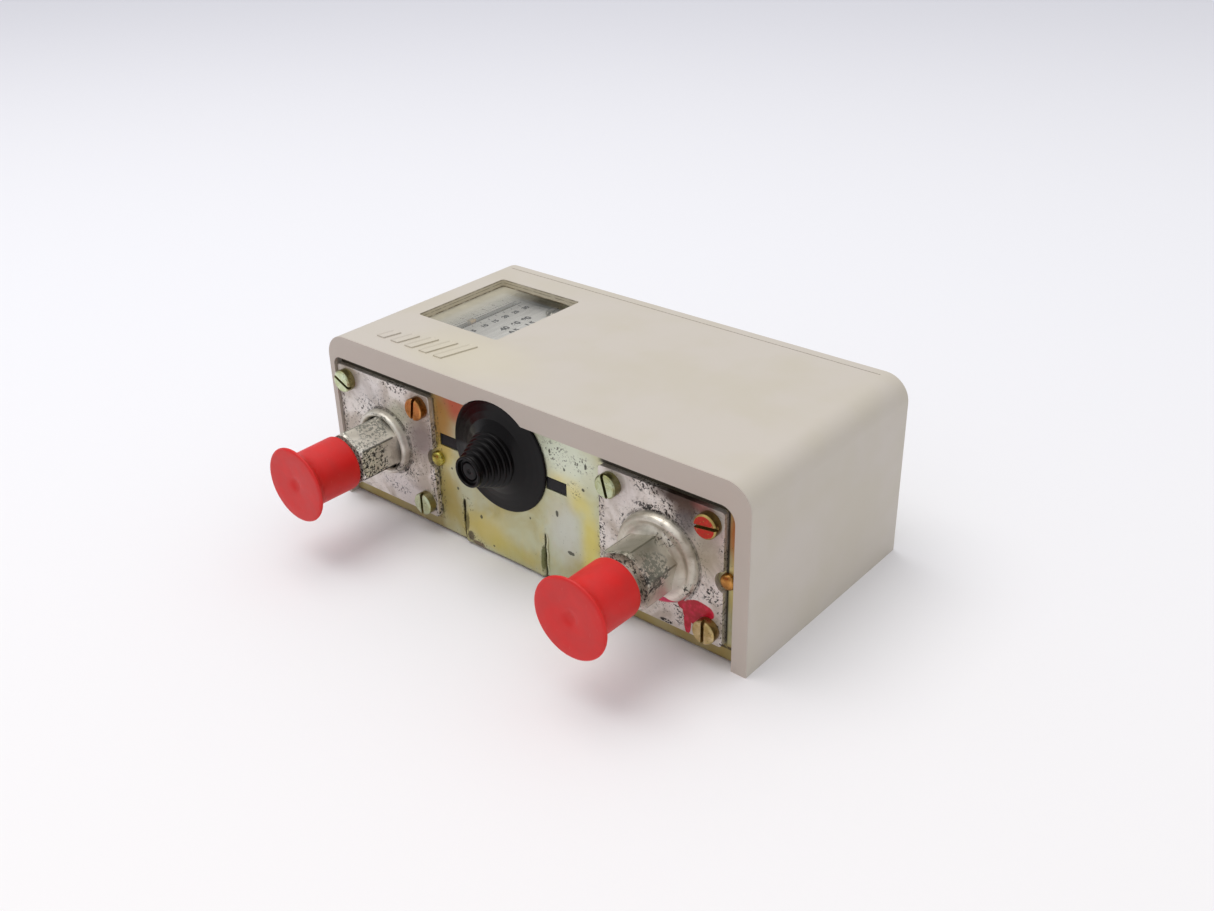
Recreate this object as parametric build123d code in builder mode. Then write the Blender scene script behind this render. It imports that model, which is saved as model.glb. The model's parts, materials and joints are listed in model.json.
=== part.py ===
"""Dual pressure switch: one low-pressure and one high-pressure bellows drive a common contact block.

Frame: X runs across the width, Y from the connector end (-Y) to the spindle end (+Y), Z from the
back plane (0) to the front cover. All sizes are in millimetres.
"""

from build123d import *
import os

# ---- outside sizes ----
width = 125.0
height = 61.5
depth = 44.8
end_y = height / 2
edge_radius = 6.1

# ---- cover ----
front_wall = 2.0
side_wall = 1.6
lip_wall = 1.25
ceiling_z = depth - front_wall
cavity_x = width / 2 - side_wall
lip_y = end_y - lip_wall
mouth_left = -cavity_x
mouth_right = 58.8
mouth_top = 38.9
mouth_corner_left, mouth_corner_right = 2.3, 3.5
notch_radius = 13.4
notch_z = 28.8
window_left, window_right = -52.5, -25.4
window_low, window_high = -9.5, 20.9
emboss = 0.4

# ---- frame ----
sheet = 1.5
frame_x = 60.3
flange_y = 28.75
inner_y = flange_y - sheet
flange_top = 42.0
flange_low_top = 37.6
side_flange_top = 14.0
bend_radius = 1.4
bellows_hole = 12.0
mount_spacing_x, mount_spacing_y = 92.0, 44.0
earth_x, earth_y = 15.0, -14.0
washer_thick = 1.6

# ---- the two pressure sides ----
axis_z = 20.5
low_x = -44.4
high_x = 39.7
mid_x = (low_x + high_x) / 2
plate_half = 16.2
plate_thick = 1.4
plate_y = flange_y + plate_thick
screw_pitch = 25.6
rivet_out = 0.6
rivet_shank = 1.2
plate_screw_radius = 1.5
hub_radius = 5.0
thread_radius = 5.55
port_bore = 2.4
port_tip_y = -54.0
cap_mouth_y = -44.5
cap_end_y = -58.6

# ---- cable entry and reset buttons ----
grommet_x = -6.8
grommet_z = 28.3
grommet_hole = 11.0
button_z = 26.0
button_xs = (-23.7, 10.0)
button_size = (5.8, 2.9)
button_gap = 0.3
button_stem = 1.5
stem_end_y = 0.4
flange_thick = 1.0

# ---- setting side ----
spindle_radius = 3.0
running = 0.05
pointer_y = 4.4
slit_x = -48.2
slit_width = 2.3
slit_low, slit_high = -5.0, 21.0
scale_top = 39.0
scale_thick = 0.8
bracket_screw_x = -34.0
bracket_screw_y = 20.5
bracket_screw_z = 32.0
guide_screw_in = 10.0
cover_screw_z = 34.0

# ---- arms and contacts ----
arm_pivot_y = -16.5
arm_reach = 10.0
arm_eye = 3.4
pivot_radius = 2.0
pivot_top = 31.0
arm_low, arm_high = 12.0, 29.0
actuator_x = 14.4
actuator_tip = 18.3
base_left, base_right = -27.5, 22.8
base_low_y, base_high_y = -1.0, 25.0
base_top = 20.0
base_screw_in = 3.0
base_screw_y = 22.0
contact_x = 19.65
contact_y = 19.0
terminal_pitch = 10.4
terminal_y = 7.5
terminal_screw_radius = 1.75
terminal_plate_thick = 1.0
clamp_thick = 1.8
contact_pin_radius = 1.0

M4_TAP = 1.65
SMALL_TAP = 1.25
SMALL_HEAD = (2.3, 1.4)
MIRROR = Plane.YZ.offset(mid_x)


def y_axis(x, z=axis_z):
    return Axis((x, 0, z), (0, 1, 0))


def turned_y(profile, x, z=axis_z):
    """A turned solid about a line along Y, from a closed list of (radius, y)."""
    with BuildPart() as turned:
        with BuildSketch(Plane(origin=(x, 0, z), x_dir=(1, 0, 0), z_dir=(0, 0, 1))):
            with BuildLine():
                Polyline(*profile, close=True)
            make_face()
        revolve(axis=y_axis(x, z))
    return turned.part


def turned_z(profile, x, y):
    """A turned solid about a line along Z, from a closed list of (radius, z)."""
    with BuildPart() as turned:
        with BuildSketch(Plane(origin=(x, y, 0), x_dir=(1, 0, 0), z_dir=(0, -1, 0))):
            with BuildLine():
                Polyline(*profile, close=True)
            make_face()
        revolve(axis=Axis((x, y, 0), (0, 0, 1)))
    return turned.part


def coil(x, z, start_y, length, turns, mean_radius, wire_radius):
    """A compression spring along +Y."""
    with BuildPart() as spring:
        with BuildLine() as path:
            Helix(
                pitch=length / turns,
                height=length,
                radius=mean_radius,
                center=(x, start_y, z),
                direction=(0, 1, 0),
            )
        with BuildSketch(Plane(origin=path.line @ 0, z_dir=path.line % 0)):
            Circle(wire_radius)
        sweep(is_frenet=True)
    return spring.part


def cover():
    """The front shell: open at the back, with an open window and an open end at each Y side."""
    groove_y, groove = 28.35, 0.25
    tab_half, tab_low, slot_half = 5.0, 29.5, 2.1
    bars, bar_pitch, bar_wide, bar_tall, bar_growth, bar_slant = 5, 4.9, 2.6, 4.6, 1.3, 0.25
    bar_left, bar_foot, window_corner = -50.5, -25.0, 0.8
    with BuildPart() as shell:
        with BuildSketch(Plane.XY):
            Rectangle(width, height)
        extrude(amount=depth)
        fillet(shell.edges().filter_by(Axis.Y).group_by(Axis.Z)[-1], edge_radius)
        with BuildSketch(Plane.XY):
            Rectangle(2 * cavity_x, 2 * lip_y)
        extrude(amount=ceiling_z, mode=Mode.SUBTRACT)
        with BuildSketch(Plane.XZ) as mouth:
            with Locations(((mouth_left + mouth_right) / 2, mouth_top / 2)):
                Rectangle(mouth_right - mouth_left, mouth_top)
            upper_left, upper_right = mouth.vertices().group_by(Axis.Y)[-1].sort_by(Axis.X)
            fillet(upper_left, mouth_corner_left)
            fillet(mouth.vertices().sort_by_distance(upper_right)[0], mouth_corner_right)
        extrude(amount=end_y, both=True, mode=Mode.SUBTRACT)
        with BuildSketch(Plane.XZ.offset(lip_y)):
            with Locations((grommet_x, notch_z)):
                Circle(notch_radius)
        extrude(amount=lip_wall, mode=Mode.SUBTRACT)
        with BuildSketch(Plane.XY.offset(ceiling_z)) as window:
            with Locations(((window_left + window_right) / 2, (window_low + window_high) / 2)):
                Rectangle(window_right - window_left, window_high - window_low)
            fillet(window.vertices(), window_corner)
        extrude(amount=front_wall, mode=Mode.SUBTRACT)
        with BuildSketch(Plane.XY.offset(depth - groove)):
            with Locations((0, groove_y)):
                Rectangle(width - 2 * edge_radius, groove)
        extrude(amount=groove, mode=Mode.SUBTRACT)
        with BuildSketch(Plane.XZ.offset(-end_y)):
            with Locations((0, (tab_low + mouth_top) / 2 + 1)):
                Rectangle(2 * tab_half, mouth_top - tab_low + 2)
        extrude(amount=end_y - flange_y - 0.2)
        with BuildSketch(Plane.XZ.offset(-end_y)):
            with Locations((0, cover_screw_z)):
                Circle(slot_half)
            with Locations((0, (cover_screw_z + tab_low) / 2)):
                Rectangle(2 * slot_half, cover_screw_z - tab_low)
        extrude(amount=end_y - flange_y, mode=Mode.SUBTRACT)
        with BuildSketch(Plane.XY.offset(depth)):
            for index in range(bars):
                left, tall = bar_left + bar_pitch * index, bar_tall + bar_growth * index
                lean, head = bar_slant * tall, bar_foot + tall
                right = left + bar_wide
                with BuildLine():
                    Polyline(
                        (left, bar_foot),
                        (right, bar_foot),
                        (right + lean, head),
                        (left + lean, head),
                        close=True,
                    )
                make_face()
        extrude(amount=emboss)
    return shell.part


def window_lens():
    rim, thick, corner = 0.8, 1.2, 1.5
    with BuildPart() as lens:
        with BuildSketch(Plane.XY.offset(ceiling_z - thick)) as outline:
            with Locations(((window_left + window_right) / 2, (window_low + window_high) / 2)):
                Rectangle(window_right - window_left + 2 * rim, window_high - window_low + 2 * rim)
            fillet(outline.vertices(), corner)
        extrude(amount=thick)
    return lens.part


def frame():
    """The folded steel frame: back plate, an end flange at each Y side and two low side flanges."""
    shoulder_left, shoulder_right = -26.0, 21.5
    slit_top, slit_gap, slit_xs = 11.8, 0.6, (-20.0, 6.0)
    spindle_flange_top = 40.0
    with BuildPart() as chassis:
        with BuildSketch(Plane.XY):
            Rectangle(2 * frame_x, 2 * flange_y)
        extrude(amount=sheet)
        for side in (-1, 1):
            with BuildSketch(Plane.YZ.offset(side * frame_x)):
                with Locations((0, side_flange_top / 2)):
                    Rectangle(2 * inner_y, side_flange_top)
            extrude(amount=-side * sheet)
        with BuildSketch(Plane.XZ.offset(inner_y)):
            with BuildLine():
                Polyline(
                    (-frame_x, 0),
                    (frame_x, 0),
                    (frame_x, flange_low_top),
                    (shoulder_right, flange_low_top),
                    (shoulder_right, flange_top),
                    (shoulder_left, flange_top),
                    (shoulder_left, flange_low_top),
                    (-frame_x, flange_low_top),
                    close=True,
                )
            make_face()
        extrude(amount=sheet)
        with BuildSketch(Plane.XZ.offset(-flange_y)):
            with Locations((0, spindle_flange_top / 2)):
                Rectangle(2 * frame_x, spindle_flange_top)
        extrude(amount=sheet)
        bends = chassis.edges().filter_by(Axis.X).group_by(Axis.Z)[0]
        fillet(bends, bend_radius)
        with BuildSketch(Plane.XZ.offset(inner_y)):
            with Locations((low_x, axis_z), (high_x, axis_z)):
                Circle(bellows_hole)
                with GridLocations(screw_pitch, screw_pitch, 2, 2):
                    Circle(plate_screw_radius)
            with Locations((grommet_x, grommet_z)):
                Circle(grommet_hole)
            with Locations(*[(x, button_z) for x in button_xs]):
                Rectangle(button_size[0] + button_gap, button_size[1] + button_gap)
            with Locations(*[(x + plate_half + rivet_out, axis_z) for x in (low_x, high_x)]):
                Circle(rivet_shank)
            with Locations(*[(x, (bend_radius + slit_top) / 2) for x in slit_xs]):
                Rectangle(slit_gap, slit_top - bend_radius)
        extrude(amount=sheet, mode=Mode.SUBTRACT)
        with BuildSketch(Plane.XZ.offset(-flange_y)):
            with Locations((low_x, axis_z), (high_x, axis_z)):
                Circle(spindle_radius + 0.1)
            with Locations((0, cover_screw_z)):
                Circle(M4_TAP)
            with Locations((bracket_screw_x, bracket_screw_z), (high_x - guide_screw_in, bracket_screw_z)):
                Circle(SMALL_TAP)
        extrude(amount=sheet, mode=Mode.SUBTRACT)
        with BuildSketch(Plane.XY):
            with GridLocations(mount_spacing_x, mount_spacing_y, 2, 2):
                Circle(M4_TAP)
            with Locations((earth_x, earth_y)):
                Circle(M4_TAP)
            with Locations((low_x - arm_reach, arm_pivot_y), (high_x + arm_reach, arm_pivot_y)):
                Circle(pivot_radius)
            with Locations(*base_screw_places()):
                Circle(SMALL_TAP)
        extrude(amount=sheet, mode=Mode.SUBTRACT)
    return chassis.part


def bellows_plate(x):
    """The square steel plate that carries a port, notched at its right edge for a locating rivet."""
    corner, notch = 0.8, 2.65
    with BuildPart() as plate:
        with BuildSketch(Plane.XZ.offset(flange_y)) as outline:
            with Locations((x, axis_z)):
                Rectangle(2 * plate_half, 2 * plate_half)
            fillet(outline.vertices(), corner)
            with Locations((x, axis_z)):
                Circle(hub_radius, mode=Mode.SUBTRACT)
                with GridLocations(screw_pitch, screw_pitch, 2, 2):
                    Circle(plate_screw_radius, mode=Mode.SUBTRACT)
            with Locations((x + plate_half + rivet_out, axis_z)):
                Circle(notch, mode=Mode.SUBTRACT)
        extrude(amount=plate_thick)
    return plate.part


def plate_screws(x):
    """Four slotted cheese-head screws on a square, as separate solids."""
    head_radius, head_high, slot, slot_deep, slot_turn, rim, shank_long = 2.8, 2.2, 0.8, 1.1, 30, 0.35, 3.0
    with BuildPart() as screws:
        with BuildSketch(Plane.XZ.offset(plate_y)):
            with Locations((x, axis_z)):
                with GridLocations(screw_pitch, screw_pitch, 2, 2):
                    Circle(head_radius)
        extrude(amount=head_high)
        tops = screws.faces().filter_by(Axis.Y).group_by(Axis.Y)[0]
        chamfer(tops.edges(), rim)
        with BuildSketch(Plane.XZ.offset(flange_y - shank_long)):
            with Locations((x, axis_z)):
                with GridLocations(screw_pitch, screw_pitch, 2, 2):
                    Circle(plate_screw_radius)
        extrude(amount=plate_thick + shank_long)
        with BuildSketch(Plane.XZ.offset(plate_y + head_high - slot_deep)):
            with Locations((x, axis_z)):
                with GridLocations(screw_pitch, screw_pitch, 2, 2):
                    Rectangle(slot, 3 * head_radius, rotation=slot_turn)
        extrude(amount=slot_deep, mode=Mode.SUBTRACT)
    return screws.part


def plate_rivets():
    head_radius, head_high, draft, tail = 1.9, 1.3, 12, 0.8
    with BuildPart() as rivets:
        with BuildSketch(Plane.XZ.offset(flange_y)):
            with Locations(*[(x + plate_half + rivet_out, axis_z) for x in (low_x, high_x)]):
                Circle(head_radius)
        extrude(amount=head_high, taper=draft)
        with BuildSketch(Plane.XZ.offset(inner_y - tail)):
            with Locations(*[(x + plate_half + rivet_out, axis_z) for x in (low_x, high_x)]):
                Circle(rivet_shank)
        extrude(amount=sheet + tail)
    return rivets.part


def port(x, shoulder, hex_flats, hex_end, hex_turn):
    """A connector with a hexagon, a male flare end and a through bore."""
    neck = 4.5
    body = turned_y(shoulder, x)
    stem = turned_y(
        [
            (0, hex_end + 1),
            (neck, hex_end + 1),
            (neck, -44.5),
            (thread_radius, -45.3),
            (thread_radius, -52.2),
            (3.4, port_tip_y),
            (0, port_tip_y),
        ],
        x,
    )
    with BuildPart() as connector:
        add(body)
        with BuildSketch(Plane.XZ.offset(plate_y)):
            with Locations((x, axis_z)):
                RegularPolygon(hex_flats / 2, 6, major_radius=False, rotation=hex_turn)
        extrude(amount=-hex_end - plate_y)
        add(stem)
        with BuildSketch(Plane.XZ.offset(flange_y)):
            with Locations((x, axis_z)):
                Circle(hub_radius)
        extrude(amount=plate_thick)
        with BuildSketch(Plane.XZ.offset(flange_y)):
            with Locations((x, axis_z)):
                Circle(port_bore)
        extrude(amount=-port_tip_y - flange_y, mode=Mode.SUBTRACT)
    return connector.part


def low_connector():
    rim, top_y, floor_y = 8.3, -32.5, -31.4
    ring = [(0, -plate_y), (rim, -plate_y), (rim, -31.6), (7.7, top_y), (6.7, top_y), (6.2, floor_y)]
    ring.append((0, floor_y))
    return port(low_x, ring, hex_flats=12.4, hex_end=-43.45, hex_turn=33.5)


def high_connector():
    foot, top_y = 10.4, -33.2
    dome = [(0, -plate_y), (foot, -plate_y), (foot, -31.0), (9.6, -32.1), (8.0, -32.9), (6.0, top_y)]
    dome.append((0, top_y))
    return port(high_x, dome, hex_flats=12.5, hex_end=-42.05, hex_turn=18)


def port_cap(x):
    """A push-on protective cap, closed by a wide thin disc at its outer end."""
    body, bore, disc, wall = 6.8, thread_radius + 0.1, 9.4, 0.95
    return turned_y(
        [
            (bore, cap_mouth_y),
            (body, cap_mouth_y),
            (body, cap_end_y + 2.6),
            (body + 0.9, cap_end_y + 1.5),
            (disc - 0.3, cap_end_y + 1.1),
            (disc, cap_end_y + 0.5),
            (disc - 0.3, cap_end_y),
            (1.4, cap_end_y),
            (0.7, cap_end_y + 0.4),
            (0, cap_end_y + 0.4),
            (0, cap_end_y + wall + 0.4),
            (bore - 0.6, cap_end_y + wall + 0.4),
            (bore, cap_end_y + wall + 1.0),
        ],
        x,
    )


def cable_grommet():
    """A stepped rubber cone with a thin flange outside the frame and a lip inside it."""
    rings, foot, tip_radius, cone_y, cone_end = 6, 6.85, 3.85, -31.4, -39.4
    step, neck = (cone_end - cone_y) / rings, grommet_hole - running
    outside = [(14.15, -flange_y), (14.15, -flange_y - 0.5), (13.0, -flange_y - 0.65), (8.2, cone_y)]
    for index in range(rings):
        radius = foot + (tip_radius - foot) * index / (rings - 1)
        outside.append((radius, cone_y + step * index))
        outside.append((radius, cone_y + step * (index + 0.62)))
        outside.append((radius - 0.75, cone_y + step * (index + 0.7)))
    outside[-1] = (tip_radius - 0.4, cone_end)
    inside = [
        (2.7, cone_end),
        (2.7, cone_end + 0.9),
        (0, cone_end + 0.9),
        (0, cone_end + 1.7),
        (2.2, cone_end + 1.7),
        (4.6, cone_y),
        (9.5, -flange_y - 0.4),
        (9.5, -inner_y + 1.6),
        (12.2, -inner_y + 1.6),
        (12.2, -inner_y),
        (neck, -inner_y),
        (neck, -flange_y),
    ]
    return turned_y(outside + inside, grommet_x, grommet_z)


def bellows(x):
    """A corrugated cup, closed towards the arm and open at its base ring."""
    folds, start, stop, lid_y, crest, root, bore = 4, -27.4, -21.0, -20.4, 11.0, 9.0, 7.4
    pitch = (stop - start) / folds
    profile = [(bore, -flange_y), (11.5, -flange_y), (11.5, start)]
    for index in range(folds):
        profile.append((root, start + pitch * index))
        profile.append((root, start + pitch * (index + 0.3)))
        profile.append((crest, start + pitch * (index + 0.45)))
        profile.append((crest, start + pitch * (index + 0.75)))
    profile += [(root, stop), (root, lid_y), (0, lid_y), (0, stop), (bore, stop)]
    return turned_y(profile, x)


def thrust_pin(x):
    foot_y, shoulder_y, tip_y = -20.3, -19.6, -17.75
    profile = [(0, foot_y), (5, foot_y), (5, shoulder_y), (2, shoulder_y), (2, tip_y), (0, tip_y)]
    return turned_y(profile, x)


def main_arm():
    """The low-pressure lever: pivot eye, upright web with a spring boss, and an actuator strip."""
    pivot_x = low_x - arm_reach
    tip_x = low_x + actuator_x
    arm_tall, web, boss, boss_high, strip, strip_tall = arm_high - arm_low, 2.0, 4.8, 2.5, 1.5, 6.0
    web_y = arm_pivot_y - web / 2
    with BuildPart() as arm:
        with BuildSketch(Plane.XY.offset(arm_low)):
            with Locations((pivot_x, arm_pivot_y)):
                Circle(arm_eye)
            with Locations(((pivot_x + tip_x) / 2, arm_pivot_y)):
                Rectangle(tip_x - pivot_x, web)
        extrude(amount=arm_tall)
        with BuildSketch(Plane.XZ.offset(-arm_pivot_y - web / 2)):
            with Locations((low_x, axis_z)):
                Circle(boss)
        extrude(amount=-boss_high - web / 2)
        with BuildSketch(Plane.XY.offset(base_top)):
            with Locations((tip_x, (web_y + actuator_tip) / 2)):
                Rectangle(strip, actuator_tip - web_y)
        extrude(amount=strip_tall)
        with BuildSketch(Plane.XY.offset(arm_low)):
            with Locations((pivot_x, arm_pivot_y)):
                Circle(pivot_radius + running)
        extrude(amount=arm_tall, mode=Mode.SUBTRACT)
    return arm.part


def arm_pivot_pins():
    """Two shouldered pins that stand in the back plate; each arm turns on the thin upper part."""
    foot, shoulder, rest = 0.2, 3.0, arm_low - 0.1
    profile = [
        (0, foot),
        (pivot_radius, foot),
        (pivot_radius, sheet),
        (shoulder, sheet),
        (shoulder, rest),
        (pivot_radius, rest),
        (pivot_radius, pivot_top),
        (0, pivot_top),
    ]
    left = turned_z(profile, low_x - arm_reach, arm_pivot_y)
    right = turned_z(profile, high_x + arm_reach, arm_pivot_y)
    return Compound(children=[left, right])


def pivot_clips():
    outer, low, high = 3.8, arm_high + 0.1, arm_high + 0.9
    ring = [(pivot_radius, low), (outer, low), (outer, high), (pivot_radius, high)]
    left = turned_z(ring, low_x - arm_reach, arm_pivot_y)
    right = turned_z(ring, high_x + arm_reach, arm_pivot_y)
    return Compound(children=[left, right])


def main_spring(x):
    return coil(x, axis_z, start_y=-14.55, length=15.0, turns=5, mean_radius=6.5, wire_radius=0.85)


def setting_nut(x, tab_x, tab_top):
    """The spring seat that climbs on the spindle; its tab keeps it from turning and marks the scale."""
    half, tall, corner, tab_wide, tab_deep = 7.0, 6.0, 2.0, 1.6, 2.0
    with BuildPart() as nut:
        with BuildSketch(Plane.XZ.offset(-pointer_y - tall / 2)) as outline:
            with Locations((x, axis_z)):
                Rectangle(2 * half, 2 * half)
            fillet(outline.vertices(), corner)
            with Locations((x, axis_z)):
                Circle(spindle_radius + running, mode=Mode.SUBTRACT)
        extrude(amount=tall)
        with BuildSketch(Plane.XY.offset(axis_z + half)):
            with Locations((tab_x, pointer_y)):
                Rectangle(tab_wide, tab_deep)
        extrude(amount=tab_top - axis_z - half)
    return nut.part


def spindle(x):
    """The threaded setting spindle, with a collar inside the flange and a slotted head outside."""
    tip_y, collar, collar_y, head_y, head_end = -7.0, 5.0, 25.4, 29.9, 36.0
    head_radius, slot, slot_deep = 4.0, 1.2, 2.2
    profile = [
        (0, tip_y),
        (spindle_radius - 0.5, tip_y),
        (spindle_radius, tip_y + 0.5),
        (spindle_radius, collar_y),
        (collar, collar_y),
        (collar, inner_y - 0.1),
        (spindle_radius, inner_y - 0.1),
        (spindle_radius, head_y),
        (head_radius, head_y),
        (head_radius, head_end - 0.5),
        (head_radius - 0.5, head_end),
        (0, head_end),
    ]
    blank = turned_y(profile, x)
    with BuildPart() as shaft:
        add(blank)
        with BuildSketch(Plane.XZ.offset(-head_end)):
            with Locations((x, axis_z)):
                Rectangle(slot, 3 * head_radius)
        extrude(amount=slot_deep, mode=Mode.SUBTRACT)
    return shaft.part


def spindle_clip(x):
    outer, low, high = 5.2, flange_y + 0.1, flange_y + 0.9
    return turned_y([(spindle_radius, low), (outer, low), (outer, high), (spindle_radius, high)], x)


def scale_plate():
    """The plate under the window, slit for the pointer."""
    centre_x, centre_y, wide, tall = -39.5, 6.0, 30.0, 34.0
    with BuildPart() as plate:
        with BuildSketch(Plane.XY.offset(scale_top - scale_thick)):
            with Locations((centre_x, centre_y)):
                Rectangle(wide, tall)
            with Locations((slit_x, (slit_low + slit_high) / 2)):
                Rectangle(slit_width, slit_high - slit_low, mode=Mode.SUBTRACT)
            with Locations((bracket_screw_x, bracket_screw_y)):
                Circle(SMALL_TAP, mode=Mode.SUBTRACT)
        extrude(amount=scale_thick)
    return plate.part


def bent_bracket(left, right, low_y, top, screw_x):
    """An angle bracket on the inside of the spindle flange, with its long leg facing the front."""
    leg, foot_z, foot_wide = 1.2, 28.0, 9.0
    with BuildPart() as bracket:
        with BuildSketch(Plane.XY.offset(top - leg)):
            with Locations(((left + right) / 2, (low_y + inner_y) / 2)):
                Rectangle(right - left, inner_y - low_y)
        extrude(amount=leg)
        with BuildSketch(Plane.XZ.offset(-inner_y)):
            with Locations((screw_x, (foot_z + top) / 2)):
                Rectangle(foot_wide, top - foot_z)
        extrude(amount=leg)
        with BuildSketch(Plane.XZ.offset(-inner_y)):
            with Locations((screw_x, bracket_screw_z)):
                Circle(SMALL_TAP)
        extrude(amount=leg, mode=Mode.SUBTRACT)
    return bracket.part


def scale_bracket():
    half, low_y, top = 5.0, 17.0, scale_top - scale_thick
    blank = bent_bracket(bracket_screw_x - half, bracket_screw_x + half, low_y, top, bracket_screw_x)
    with BuildPart() as bracket:
        add(blank)
        with Locations((bracket_screw_x, bracket_screw_y, top)):
            Hole(SMALL_TAP, 1.2)
    return bracket.part


def high_nut_guide():
    left, right, low_y, top = high_x - 14.5, high_x + 5, -8.0, scale_top - scale_thick
    blank = bent_bracket(left, right, low_y, top, high_x - guide_screw_in)
    with BuildPart() as guide:
        add(blank)
        with BuildSketch(Plane.XY.offset(scale_top)):
            with Locations((high_x, (slit_low + slit_high) / 2)):
                Rectangle(slit_width, slit_high - slit_low)
        extrude(amount=-3, mode=Mode.SUBTRACT)
    return guide.part


def pan_screw(place, head_radius, head_high, shank_radius, shank_long):
    """A slotted pan-head screw whose shank runs from the given plane against its normal."""
    slot = 0.8
    with BuildPart() as screw:
        with BuildSketch(place):
            Circle(head_radius)
        extrude(amount=head_high)
        rim = screw.faces().sort_by(SortBy.AREA)[-2:].edges()
        chamfer(rim.sort_by_distance(place.origin + place.z_dir * head_high)[0:1], head_high / 4)
        with BuildSketch(place):
            Circle(shank_radius)
        extrude(amount=-shank_long)
        with BuildSketch(place.offset(head_high)):
            Rectangle(slot, 3 * head_radius)
        extrude(amount=-head_high / 2, mode=Mode.SUBTRACT)
    return screw.part


def scale_screws():
    on_plate = Plane(origin=(bracket_screw_x, bracket_screw_y, scale_top), z_dir=(0, 0, 1))
    on_flange = Plane(origin=(bracket_screw_x, flange_y, bracket_screw_z), z_dir=(0, 1, 0))
    face = pan_screw(on_plate, *SMALL_HEAD, SMALL_TAP, shank_long=3.2)
    back = pan_screw(on_flange, *SMALL_HEAD, SMALL_TAP, shank_long=4.2)
    return Compound(children=[face, back])


def high_guide_screw():
    on_flange = Plane(origin=(high_x - guide_screw_in, flange_y, bracket_screw_z), z_dir=(0, 1, 0))
    return pan_screw(on_flange, *SMALL_HEAD, SMALL_TAP, shank_long=4.2)


def cover_screw():
    under_head = Plane(origin=(0, end_y + 0.1, cover_screw_z), z_dir=(0, 1, 0))
    return pan_screw(under_head, 3.8, 2.4, M4_TAP, shank_long=7)


def earth_screw():
    under_head = Plane(origin=(earth_x, earth_y, sheet + washer_thick), z_dir=(0, 0, 1))
    return pan_screw(under_head, 3.6, 2.4, M4_TAP, shank_long=3.0)


def earth_washer():
    """A cup washer that holds the earth wire, with its rim turned up."""
    inner, outer, top, rim_top = 4.0, 4.6, sheet + washer_thick, sheet + washer_thick + 1.0
    ring = [(M4_TAP, sheet), (outer, sheet), (outer, rim_top), (inner, rim_top), (inner, top), (M4_TAP, top)]
    return turned_z(ring, earth_x, earth_y)


def terminal_xs():
    return [mid_x + (index - 1.5) * terminal_pitch for index in range(4)]


def base_screw_places():
    return [(base_left + base_screw_in, base_screw_y), (base_right - base_screw_in, base_screw_y)]


def contact_base():
    """The moulded insulating block that carries terminals, contacts and the button guides."""
    rib, rib_long, rib_top = 1.4, 9.0, 27.0
    lug_wide, lug_deep, lug_top = 6.5, 2.5, 30.0
    hole_deep, corner = 8.0, 1.2
    with BuildPart() as base:
        with BuildSketch(Plane.XY.offset(sheet)) as foot:
            with Locations(((base_left + base_right) / 2, (base_low_y + base_high_y) / 2)):
                Rectangle(base_right - base_left, base_high_y - base_low_y)
            fillet(foot.vertices(), corner)
        extrude(amount=base_top - sheet)
        with BuildSketch(Plane.XY.offset(base_top)):
            for index in range(3):
                with Locations((mid_x + (index - 1) * terminal_pitch, terminal_y)):
                    Rectangle(rib, rib_long)
        extrude(amount=rib_top - base_top)
        with BuildSketch(Plane.XY.offset(base_top)):
            for x in button_xs:
                with Locations((x, base_low_y + lug_deep / 2)):
                    Rectangle(lug_wide, lug_deep)
        extrude(amount=lug_top - base_top)
        with BuildSketch(Plane.XZ.offset(-base_low_y)):
            with Locations(*[(x, button_z) for x in button_xs]):
                Circle(button_stem + 0.1)
        extrude(amount=-lug_deep, mode=Mode.SUBTRACT)
        with BuildSketch(Plane.XY.offset(base_top)):
            with Locations(*[(x, terminal_y) for x in terminal_xs()]):
                Circle(terminal_screw_radius)
            with Locations((mid_x - contact_x, contact_y), (mid_x + contact_x, contact_y)):
                Circle(contact_pin_radius)
        extrude(amount=-hole_deep, mode=Mode.SUBTRACT)
        with BuildSketch(Plane.XY.offset(sheet)):
            with Locations(*base_screw_places()):
                Circle(SMALL_TAP)
        extrude(amount=base_top - sheet, mode=Mode.SUBTRACT)
    return base.part


def contact_base_screws():
    """Two long screws from the front of the block into the back plate."""
    screws = []
    for x, y in base_screw_places():
        under_head = Plane(origin=(x, y, base_top), z_dir=(0, 0, 1))
        screws.append(pan_screw(under_head, 2.0, 0.9, SMALL_TAP, shank_long=19.6))
    return Compound(children=screws)


def terminal_plates():
    side = 8.0
    with BuildPart() as plates:
        with BuildSketch(Plane.XY.offset(base_top)):
            with Locations(*[(x, terminal_y) for x in terminal_xs()]):
                Rectangle(side, side)
                Circle(terminal_screw_radius, mode=Mode.SUBTRACT)
        extrude(amount=terminal_plate_thick)
    return plates.part


def terminal_clamps():
    """Square saddle washers under the terminal screws."""
    side, groove_x, groove_wide = 7.4, 2.9, 1.2
    with BuildPart() as clamps:
        with BuildSketch(Plane.XY.offset(base_top + terminal_plate_thick)):
            with Locations(*[(x, terminal_y) for x in terminal_xs()]):
                Rectangle(side, side)
                Circle(terminal_screw_radius, mode=Mode.SUBTRACT)
        extrude(amount=clamp_thick)
        with BuildSketch(Plane.XY.offset(base_top + terminal_plate_thick)):
            for x in terminal_xs():
                with Locations((x - groove_x, terminal_y), (x + groove_x, terminal_y)):
                    Rectangle(groove_wide, side + 0.6)
        extrude(amount=clamp_thick / 2, mode=Mode.SUBTRACT)
    return clamps.part


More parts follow.
